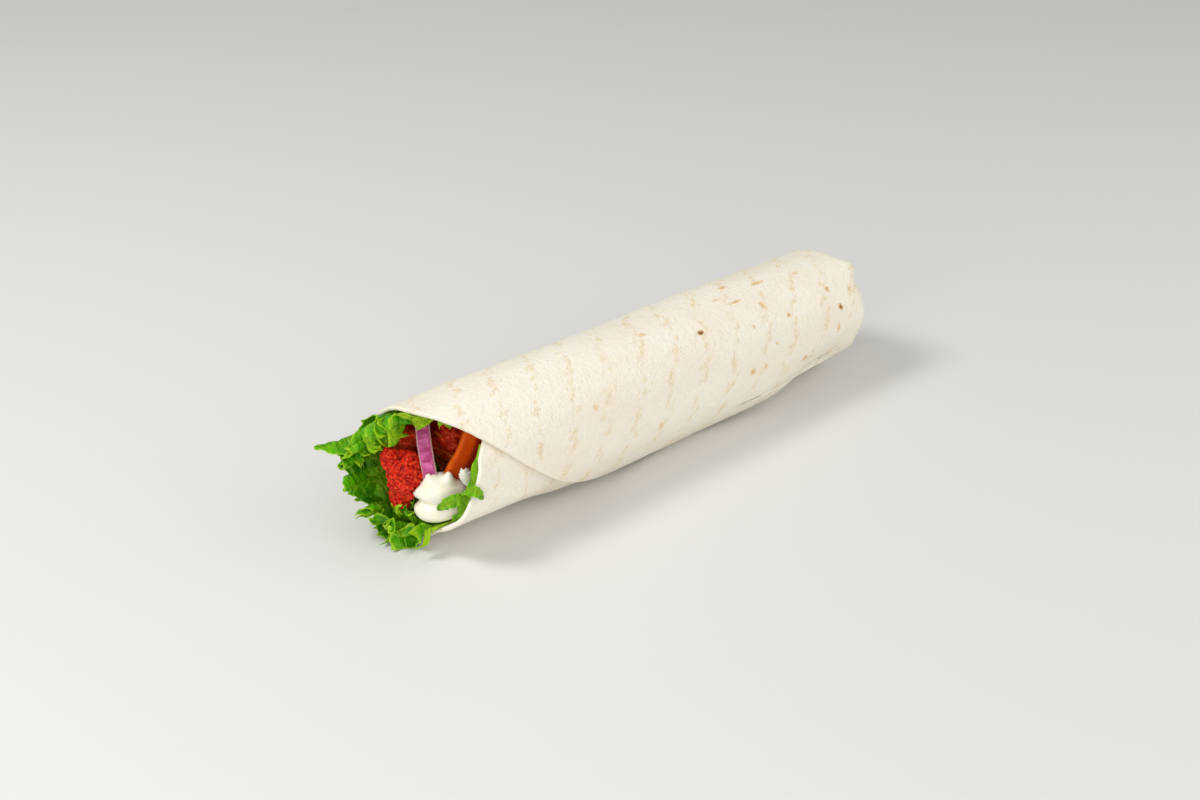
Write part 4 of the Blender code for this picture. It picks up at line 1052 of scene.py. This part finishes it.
def frill_band(name, base, width, lean, curl, ruffle, wave_length, seed, material):
    """A ruffled band of lettuce that stands off a path, curls over and has a toothed free edge."""
    # the base path, with the length along it and the share across the band
    path = smooth_path(np.array(base), BAND_COLUMNS * (len(base) - 1))
    spine = on_roll(path[:, 0], path[:, 1] * MM, path[:, 2] * MM)
    s = np.concatenate([[0.0], np.cumsum(np.linalg.norm(np.diff(spine, axis=0), axis=1))])[None, :]
    v = np.linspace(0.0, 1.0, BAND_ROWS)[:, None]
    ends = np.sqrt(np.clip(1.0 - (2.0 * s / s[0, -1] - 1.0) ** 4, 0.02, 1.0))
    wave = 2.0 * math.pi * s / (wave_length * MM) + seed + 0.8 * np.sin(s / (wave_length * 0.41 * MM) + seed)
    size = width * MM * ends * (0.85 + 0.2 * np.sin(0.63 * wave + 2.0 * seed))

    # the way that the band takes, row by row, which turns as it curls over
    lean_here = rad(lean + curl * v ** 1.3 + 14.0 * np.sin(0.5 * wave + seed) * v)
    a = rad(path[:, 0])[None, :]
    outward = np.stack([0.0 * a, -np.sin(a), np.cos(a)], -1)
    round_it = np.stack([0.0 * a, -np.cos(a), -np.sin(a)], -1)
    ahead = np.array([-1.0, 0.0, 0.0])
    leaning, upright = np.sin(lean_here)[..., None], np.cos(lean_here)[..., None]
    way, across = upright * ahead + leaning * outward, upright * outward - leaning * ahead
    stride = way * (size / (BAND_ROWS - 1))[..., None]
    tooth = teeth(s, seed) + 0.6 * teeth(1.7 * s, seed + 2.0)
    reach = np.cumsum(stride, axis=0) - stride + way * (v ** 7 * tooth * ends)[..., None]

    # ruffles that grow towards the free edge
    small, fine = 2.6 * wave + 1.5 * v, 6.3 * wave - 3.0 * v
    deep = ruffle * MM * v ** 1.2 * ends
    lift = deep * (np.sin(wave) + 0.42 * np.sin(small) * v + 0.16 * np.sin(fine) * v)
    swing = -deep * (0.75 * np.cos(wave) + 0.4 * np.cos(small) * v + 0.14 * np.cos(fine) * v)
    middle = spine[None] + reach + across * lift[..., None] + round_it * swing[..., None]
    middle = middle + stirred(middle, BAND_STIR) * (v ** 0.7)[..., None]
    middle[..., 2] = np.maximum(middle[..., 2], 0.5 * LEAF)

    crest = (np.sin(wave) + 0.5 * np.sin(small)) / 1.5
    near_edge = smooth(1.0 - (1.0 - v) * size / BAND_EDGE_WIDTH) + 0.0 * s
    marks = {"leaf": np.stack(np.broadcast_arrays(s + 0.05 * seed, size * v + 0.1, 0.0 * s), -1),
             "frill": np.stack(np.broadcast_arrays(0.4 + 0.6 * v, crest, near_edge), -1)}
    return leaf_solid(name, middle, 0.5 * LEAF * (0.6 - 0.35 * v ** 3) + 0.0 * s, marks, material)


def smooth_path(points, count):
    """Points along a smooth curve through the given ones."""
    given = np.array(points, float)
    ends = np.concatenate([[2 * given[0] - given[1]], given, [2 * given[-1] - given[-2]]])
    t = np.linspace(0.0, len(given) - 1.0, count)
    n = np.minimum(t.astype(int), len(given) - 2)
    f = (t - n)[:, None]
    a, b, c, d = (ends[n + k] for k in range(4))
    square, cube = 2 * a - 5 * b + 4 * c - d, 3 * b - a - 3 * c + d
    return 0.5 * (2 * b + (c - a) * f + square * f ** 2 + cube * f ** 3)


def height_path(points):
    """Points in metres from millimetres along the roll, across it and over its axis."""
    return [(x * MM, y * MM, h * MM + roll.axis_height(x * MM)) for x, y, h in points]


SIGHT = (-0.57, -0.65, 0.5)  # the way to the camera, roughly

# Leaflets of the sprig: path as in height_path, width in mm, facing, curl in mm and share of the teeth
SPRIG_LEAFLETS = (
    (((-72.0, -18.4, 16.0), (-77.0, -21.4, 11.0), (-80.4, -23.0, 4.6), (-83.0, -23.0, -0.4),
      (-85.4, -21.4, -6.4), (-87.0, -19.2, -10.6)), 3.8, (-0.9, -0.4, 0.2), 0.4, 0.35),
    (((-81.8, -20.6, 0.8), (-84.2, -24.0, 4.6), (-85.2, -27.2, 6.6), (-83.2, -30.0, 5.6),
      (-81.2, -30.0, 2.4)), 4.6, (-0.4, -0.4, 0.8), 0.6, 0.05),
    (((-83.0, -22.0, 0.6), (-86.4, -21.8, 0.2), (-89.6, -19.0, -1.6), (-91.2, -15.6, -5.0)),
     4.6, (-0.6, -0.5, 0.6), 0.6, 0.05),
)
# The dab of sauce beside the sprig, given like the leaflets
SAUCE_DAB = (((-78.9, -17.5, 1.0), (-79.4, -18.0, 4.2), (-80.0, -17.4, 8.0)), 4.8, SIGHT, 1.6, 0.12)
LEAFLET_ROWS, LEAFLET_COLUMNS = 60, 17
LEAFLET_LENGTH = 16.0  # mm, for the spacing of teeth and marks


def leaflet(name, points, width, facing, curl, toothed, material):
    """A small leaflet along a path, pointed at its end and toothed at its sides by a share."""
    spine = smooth_path(height_path(points), LEAFLET_ROWS)
    ahead = unit(np.gradient(spine, axis=0))
    side = unit(np.cross(ahead, np.array(facing)))
    up = np.cross(side, ahead)
    t = np.linspace(0.0, 1.0, LEAFLET_ROWS)[:, None]
    v = np.linspace(-1.0, 1.0, LEAFLET_COLUMNS)[None, :]
    arc = t * LEAFLET_LENGTH * MM
    crinkle = np.sin(26.0 * t + 2.0 * v)
    half = 0.5 * width * MM * (0.18 + 0.82 * np.sin(math.pi * np.minimum(0.12 + 0.86 * t, 1.0)) ** 0.7)
    half = half * (1.0 + 0.06 * np.sin(9.0 * math.pi * t)) + teeth(arc, width) * toothed * np.abs(v) ** 4
    lift = -curl * MM * v ** 2 + np.abs(v) ** 3 * 0.5 * MM * crinkle
    middle = spine[:, None, :] + side[:, None, :] * (half * v)[..., None] + up[:, None, :] * lift[..., None]
    near_edge = np.abs(v) ** 7 + 0.0 * t
    marks = {"leaf": np.stack([half * v, arc + 0.0 * v, 0.0 * half * v], -1),
             "frill": np.stack([0.4 + 0.5 * np.abs(v) + 0.0 * t, 0.5 * crinkle, near_edge], -1)}
    thin = 0.5 * LEAF * (0.8 - 0.4 * np.abs(v) ** 3 + 0.0 * t)
    return leaf_solid(name, middle, thin, marks, material)


def joined(name, parts):
    """One object from several whose solids overlap or touch."""
    with bpy.context.temp_override(active_object=parts[0], selected_editable_objects=parts):
        bpy.ops.object.join()
    parts[0].name = parts[0].data.name = name
    return parts[0]


# ------------------------------------------------- strips of onion and pepper

# Paths as in height_path
ONION_PATH = ((-79.5, 8.0, 19.6), (-83.0, 1.6, 9.6), (-86.0, -5.2, -0.9), (-86.0, -6.5, -8.0))
PEPPER_PATH = ((-71.5, -13.0, 17.8), (-74.0, -11.5, 9.5), (-77.0, -8.6, 1.2), (-78.0, -8.0, -6.0))
PEPPER_FACING = (-0.25, -0.85, 0.45)
PATH_POINTS = 40
END_SHARE, END_SLIM = 1.0 / 14.0, 0.55  # how much of a strip narrows at each end, and how slim it gets
ARC_POINTS, OUTLINE_STEP = 5, 0.3 * MM
UNEVEN_SCALE = 260.0


def cut_strip_tree():
    """Geometry nodes that lay a strip with rounded edges along a path."""
    tree, given, out = new_tree("cut_strip", "GeometryNodeTree", [
        ("Path", "Geometry", None), ("Width", "Float", 5.4 * MM), ("Thickness", "Float", 2.4 * MM),
        ("Edge Radius", "Float", 0.8 * MM), ("Length Step", "Float", 0.4 * MM),
        ("Facing", "Vector", (0, 0, 1)), ("Unevenness", "Float", 0.25 * MM), ("Seed", "Float", 1.0),
        ("Material", "Material", None)],
        [("Mesh", "Geometry")])
    tree.is_modifier = True
    size = {name: Field(tree, given.outputs[name]) for name in ("Width", "Thickness", "Unevenness")}
    path = node(tree, "GeometryNodeResampleCurve", {
        "Curve": given.outputs["Path"], "Length": given.outputs["Length Step"]}, mode="LENGTH")
    path = node(tree, "GeometryNodeSetCurveNormal", {"Curve": path, "Normal": given.outputs["Facing"]},
                mode="FREE")
    spline = node(tree, "GeometryNodeSplineParameter")
    along = Field(tree, spline.outputs["Factor"])
    close = least(least(along, 1.0 - along) * (1.0 / END_SHARE), 1.0)
    slim = END_SLIM + (1.0 - END_SLIM) * calc("SQRT", most(1.0 - (1.0 - close) * (1.0 - close), 0.0))
    path = node(tree, "GeometryNodeSetCurveRadius", {"Curve": path, "Radius": slim})
    path = stored(tree, path, "along", spline.outputs["Length"])

    outline = node(tree, "GeometryNodeCurvePrimitiveQuadrilateral", {
        "Width": size["Thickness"], "Height": size["Width"]})
    outline = node(tree, "GeometryNodeFilletCurve", {
        "Curve": outline, "Count": ARC_POINTS, "Radius": given.outputs["Edge Radius"]}, mode="POLY")
    outline = node(tree, "GeometryNodeResampleCurve", {"Curve": outline, "Length": OUTLINE_STEP},
                   mode="LENGTH")
    x, y, _ = here_in(tree)
    outline = stored(tree, outline, "across", y * 2.0 / size["Width"])
    outline = stored(tree, outline, "side", x * 2.0 / size["Thickness"])

    strip = node(tree, "GeometryNodeCurveToMesh", {
        "Curve": path, "Profile Curve": outline, "Fill Caps": True})
    marks = (recalled(tree, name) for name in ("along", "across", "side"))
    strip = stored(tree, strip, "strip", node(tree, "ShaderNodeCombineXYZ", dict(enumerate(marks))),
                   "FLOAT_VECTOR")
    noisy = node(tree, "ShaderNodeTexNoise", {
        "Vector": node(tree, "GeometryNodeInputPosition"), "Scale": UNEVEN_SCALE, "W": given.outputs["Seed"]},
        noise_dimensions="4D")
    push = node(tree, "ShaderNodeVectorMath", {
        0: node(tree, "GeometryNodeInputNormal"),
        "Scale": (Field(tree, noisy.outputs[0]) - 0.5) * 2.0 * size["Unevenness"]}, operation="SCALE")
    strip = node(tree, "GeometryNodeSetPosition", {"Geometry": strip, "Offset": push})
    return finish_tree(tree, strip, given.outputs["Material"], out)


def path_curve(points):
    """A curve object with straight stretches between the points."""
    curve = bpy.data.curves.new("path", "CURVE")
    curve.dimensions = "3D"
    spline = curve.splines.new("POLY")
    spline.points.add(len(points) - 1)
    for point, place in zip(spline.points, points):
        point.co = (*place, 1.0)
    return placed("path", curve)


def cut_strip(name, path, tree, **values):
    """A strip along a path, with the tree's inputs given by name."""
    base = path_curve(smooth_path(height_path(path), PATH_POINTS))
    return to_row_frame(baked(name, tree, spaced(values), base))


# ------------------------------------------------- chicken and sauce

WELD, CUT_REACH = 1e-6, 1e-7
HOLLOW_TIMES = 14  # how often a surface is relaxed to find its hollows
# Where the sauce climbs the onion and the pepper: place as in height_path, width and height in mm
SAUCE_CLIMBS = (
    ((-86.6, -5.3, 0.8), 1.8, 2.9), ((-81.7, -10.0, 0.8), 1.8, 2.9), ((-84.2, -7.7, 0.0), 5.0, 1.7),
)
GRAIN_DENSITY = 1.6  # grains tried on a square of the spacing
GRAIN_SHAPE = (1.0, 0.8, 0.6)


def relaxed(points, edges, times):
    """Points drawn towards the middle of their neighbours, several times over."""
    linked = np.bincount(edges.ravel(), minlength=len(points))[:, None]
    start, end = edges.T
    for _ in range(times):
        total = np.stack([np.bincount(start, points[end, k], len(points))
                          + np.bincount(end, points[start, k], len(points)) for k in range(3)], 1)
        points = 0.5 * points + 0.5 * total / linked
    return points


def fine_copy(name, solid, voxel, keep_below=None):
    """An even fine mesh over a copy of a solid, merged first and cut off behind a place along the roll."""
    bm = bmesh.new()
    bm.from_mesh(solid.data)
    bmesh.ops.remove_doubles(bm, verts=bm.verts, dist=WELD)
    if keep_below is not None:
        cut = bmesh.ops.bisect_plane(
            bm, geom=bm.verts[:] + bm.edges[:] + bm.faces[:], dist=CUT_REACH,
            plane_co=(keep_below, 0.0, 0.0), plane_no=(1.0, 0.0, 0.0), clear_outer=True)
        bmesh.ops.holes_fill(bm, edges=[e for e in cut["geom_cut"] if isinstance(e, bmesh.types.BMEdge)])
    mesh = bpy.data.meshes.new(name)
    bm.to_mesh(mesh)
    bm.free()
    made = placed(name, mesh)
    even = made.modifiers.new("even", "REMESH")
    even.mode, even.voxel_size = "VOXEL", voxel
    bpy.context.view_layer.update()
    evaluated = made.evaluated_get(bpy.context.evaluated_depsgraph_get())
    fine = bpy.data.meshes.new_from_object(evaluated)
    fine.name = name
    made.modifiers.remove(even)
    made.data = fine
    return made


def points_of(mesh):
    """The points of a mesh, and the two points at each of its edges."""
    points = np.empty(len(mesh.vertices) * 3)
    mesh.vertices.foreach_get("co", points)
    edges = np.empty(len(mesh.edges) * 2, int)
    mesh.edges.foreach_get("vertices", edges)
    return points.reshape(-1, 3), edges.reshape(-1, 2)


def normals_of(mesh):
    normals = np.empty(len(mesh.vertices) * 3, np.float32)
    mesh.vertices.foreach_get("normal", normals)
    return normals.reshape(-1, 3).astype(float)


def dressed(made, soften, relief, material, hollow_scale):
    """Softens a fine copy, raises its relief and marks its hollows, which its finish reads."""
    mesh = made.data
    points, edges = points_of(mesh)
    mesh.vertices.foreach_set("co", relaxed(points, edges, soften).ravel())
    mesh.update()
    points, _ = points_of(mesh)
    normals = normals_of(mesh)
    raised = np.array([relief(Vector(p), Vector(n)) for p, n in zip(points, normals)])
    points = points + normals * raised[:, None]
    hollow = ((points - relaxed(points, edges, HOLLOW_TIMES)) * normals).sum(1) / hollow_scale
    mesh.vertices.foreach_set("co", points.ravel())
    mesh.update()
    mark(mesh, "bump", np.stack([np.clip(hollow, -1.0, 1.0), raised / MM, 0.0 * raised], 1))
    mesh.materials.clear()
    mesh.materials.append(material)
    mesh.shade_smooth()
    return made


def cells(place, size):
    """Height of round cells of a given size, highest at the middle of each."""
    return 0.5 - noise.voronoi(place / size)[0][0]


def granular(place, _normal):
    """Relief of a chunk in spice coating: lumps of a few millimetres, with clods and small grains on them."""
    lumps = noise.noise(place / (4.5 * MM)) * MM + noise.noise(place / (2.2 * MM)) * 0.7 * MM
    askew = place + noise.noise_vector(place / (1.6 * MM)) * 0.8 * MM
    return lumps + cells(askew, 1.4 * MM) * 0.8 * MM + cells(askew, 0.8 * MM) * 0.3 * MM


def torn(place, _normal):
    """Relief of a torn piece of chicken: long ridges and a few clods."""
    ridges = noise.noise(Vector((place.x / (9.0 * MM), place.y / (5.0 * MM), place.z / (2.6 * MM)))) * MM
    return (max(ridges, -0.6 * MM) + cells(place, 2.6 * MM) * 0.6 * MM
            + noise.noise(place / (1.0 * MM)) * 0.15 * MM)


def sauce_peak(spot, wide, high):
    """One of SAUCE_CLIMBS as place, width and height in metres, in the row's frame."""
    x, y, z = height_path([spot])[0]
    return Vector((x - ORIGIN_X, y - ORIGIN_Y, z)), wide * MM, high * MM


SAUCE_PEAKS = [sauce_peak(*climb) for climb in SAUCE_CLIMBS]


def creamy(place, normal):
    """Relief of the sauce: soft waves, and the places where it climbs the onion and the pepper."""
    climb = sum(high * math.exp(-((place - top).length / wide) ** 2) for top, wide, high in SAUCE_PEAKS)
    return noise.noise(place / (5.0 * MM)) * 0.25 * MM + climb * max(normal.z, 0.0)


def grains_tree():
    """Geometry nodes that scatter small uneven grains over a surface."""
    tree, given, out = new_tree("grains_on_surface", "GeometryNodeTree", [
        ("Surface", "Geometry", None), ("Spacing", "Float", 0.9 * MM), ("Grain Radius", "Float", 0.3 * MM),
        ("Size Spread", "Float", 0.5), ("Seed", "Int", 1), ("Material", "Material", None)],
        [("Mesh", "Geometry")])
    tree.is_modifier = True
    spacing = Field(tree, given.outputs["Spacing"])
    strewn = node(tree, "GeometryNodeDistributePointsOnFaces", {
        "Mesh": given.outputs["Surface"], "Distance Min": spacing,
        "Density Max": GRAIN_DENSITY / (spacing * spacing), "Seed": given.outputs["Seed"]},
        distribute_method="POISSON")
    grain = node(tree, "GeometryNodeMeshIcoSphere", {
        "Radius": given.outputs["Grain Radius"], "Subdivisions": 1})
    spread = Field(tree, given.outputs["Size Spread"])
    sizes = node(tree, "FunctionNodeRandomValue", {
        2: 1.0 - spread, 3: 1.0 + spread, "Seed": given.outputs["Seed"]}, data_type="FLOAT")
    size = Field(tree, sizes.outputs[1])
    squat = node(tree, "ShaderNodeCombineXYZ", {k: size * share for k, share in enumerate(GRAIN_SHAPE)})
    grains = node(tree, "GeometryNodeInstanceOnPoints", {
        "Points": strewn.outputs[0], "Instance": grain, "Rotation": strewn.outputs["Rotation"],
        "Scale": squat})
    return finish_tree(tree, grains, given.outputs["Material"], out)


def strewn_with(name, surface, tree, **values):
    """Grains over a copy of a surface, as an object of their own."""
    return baked(name, tree, spaced(values), placed(name + "_base", surface.data.copy()))


# ------------------------------------------------- the whole wrap

MOUTH_DEPTH = -62.0 * MM  # the filling behind this place is never seen, so its solid is enough


def wrap():
    """Builds every piece and rides it on the one body, with the solids it takes the place of."""
    nodes = frame["nodes"]
    flour, green = flour_tortilla(), green_leaf()
    coated, grainy = spiced_chicken("coated_chicken", **COATED), spiced_chicken("spice_coating", **GRAINY)
    shaded = spiced_chicken("inner_chicken", **SHADED)
    purple, orange, cream = cut_onion(), cooked_pepper(), white_dressing()

    sheet = to_row_frame(baked("tortilla_sheet", rolled_sheet_tree(), {"Material": flour}))
    seat(sheet, "tortilla", "tortilla")
    seat(to_row_frame(tucked_fold(flour)), "tortilla")
    for name, leaf, frills, solid in (("lettuce_back", BACK_LEAF, BACK_FRILLS, "lettuce_back_leaf"),
                                      ("lettuce_under", UNDER_LEAF, UNDER_FRILLS, "lettuce_under_leaf")):
        parts = [frilly_leaf(name, material=green, **leaf)]
        parts += [frill_band("frill%d" % k, *given, green) for k, given in enumerate(frills)]
        seat(to_row_frame(joined(name, parts)), "lettuce", solid)
    leaflets = [leaflet("leaflet%d" % k, *given, green) for k, given in enumerate(SPRIG_LEAFLETS)]
    seat(to_row_frame(joined("lettuce_leaflets", leaflets)), "lettuce", "lettuce_sprig")

    strips = cut_strip_tree()
    onion = cut_strip("onion_strip", ONION_PATH, strips, Facing=SIGHT, Width=5.4 * MM, Thickness=2.4 * MM,
                      Material=purple)
    seat(onion, "onion", "onion_slice")
    pepper = cut_strip("pepper_piece", PEPPER_PATH, strips, Facing=PEPPER_FACING, Width=8.4 * MM,
                       Thickness=4.4 * MM, Edge_Radius=1.4 * MM, Seed=4.0, Material=orange)
    seat(pepper, "pepper", "pepper_strip")

    chunk = fine_copy("chicken_chunk", nodes["chicken_front_chunk"], 0.25 * MM)
    dressed(chunk, soften=8, relief=granular, material=coated, hollow_scale=0.5 * MM)
    seat(chunk, "chicken", "chicken_front_chunk")
    mouth = fine_copy("chicken_in_mouth", nodes["chicken_filling"], 0.5 * MM, MOUTH_DEPTH)
    dressed(mouth, soften=4, relief=torn, material=shaded, hollow_scale=0.6 * MM)
    seat(mouth, "chicken")
    nodes["chicken_filling"].data.materials[0] = shaded
    grains = strewn_with("spice_grains", chunk, grains_tree(), Material=grainy, Spacing=0.8 * MM, Seed=3)
    seat(grains, "chicken")
    sauce = fine_copy("sauce_dollop", nodes["white_sauce"], 0.4 * MM)
    dressed(sauce, soften=12, relief=creamy, material=cream, hollow_scale=0.45 * MM)
    dab = to_row_frame(leaflet("dab", *SAUCE_DAB, cream))
    seat(joined("sauce_dollop", [sauce, dab]), "sauce", "white_sauce")


# The camera as fitted to the photo: how far it looks down and turns from +Y, how far off it is, and its lens
CAMERA_DOWN, CAMERA_TURN = 30.0, 41.21
CAMERA_AWAY, CAMERA_NEAREST = 0.780, 0.01
CAMERA_LENS, CAMERA_SENSOR = 60.12, 36.0
CAMERA_AIM = (-ORIGIN_X, -0.00015 - ORIGIN_Y, 0.0275 - SETTLE)
# Lamps: place and size in metres, power in watts
LAMPS = (
    ("key", (-0.55, 0.35, 0.85), 5.35, 0.35),
    ("fill", (-0.5, -0.7, 0.45), 2.0, 0.8),
    ("front", (0.5, -0.6, 0.5), 2.8, 0.8),
    ("mouth", (-0.75, -0.3, 0.3), 1.2, 0.4),
)
LAMP_AIM = (0.0, 0.0, 0.02)
WORLD_COLOUR, WORLD_STRENGTH = (1.0, 0.98, 0.95, 1.0), 0.42
FLOOR_REACH, FLOOR_COLOUR = 3.0, (0.75, 0.74, 0.72, 1)


def camera_and_light():
    """The photo's camera, four lamps, a pale world and the floor that the wrap lies on."""
    e, phi = math.radians(CAMERA_DOWN), math.radians(CAMERA_TURN)
    sight = Vector((math.sin(phi) * math.cos(e), math.cos(phi) * math.cos(e), -math.sin(e)))
    right = Vector((math.cos(phi), -math.sin(phi), 0.0))
    turned = Matrix((right, right.cross(sight), -sight)).transposed().to_4x4()
    turned.translation = Vector(CAMERA_AIM) - sight * CAMERA_AWAY
    camera = placed("camera", bpy.data.cameras.new("camera"))
    camera.data.lens, camera.data.sensor_width = CAMERA_LENS, CAMERA_SENSOR
    camera.data.clip_start = CAMERA_NEAREST
    camera.matrix_world = turned
    bpy.context.scene.camera = camera

    for name, place, power, size in LAMPS:
        light = bpy.data.lights.new(name, "AREA")
        light.energy, light.size = power, size
        lamp = placed(name, light)
        lamp.location = place
        lamp.rotation_euler = (Vector(LAMP_AIM) - Vector(place)).to_track_quat("-Z", "Y").to_euler()

    world = bpy.data.worlds.new("studio")
    world.use_nodes = True
    background = world.node_tree.nodes["Background"]
    background.inputs[0].default_value, background.inputs[1].default_value = WORLD_COLOUR, WORLD_STRENGTH
    bpy.context.scene.world = world
    bpy.context.scene.view_settings.view_transform = "Standard"

    far = FLOOR_REACH
    corners = [(-far, -far, 0), (far, -far, 0), (far, far, 0), (-far, far, 0)]
    floor = bpy.data.meshes.new("floor")
    floor.from_pydata(corners, [], [(0, 1, 2, 3)])
    floor.materials.append(finish_of("floor", Base_Color=FLOOR_COLOUR)[0])
    placed("floor", floor)


wrap()
camera_and_light()
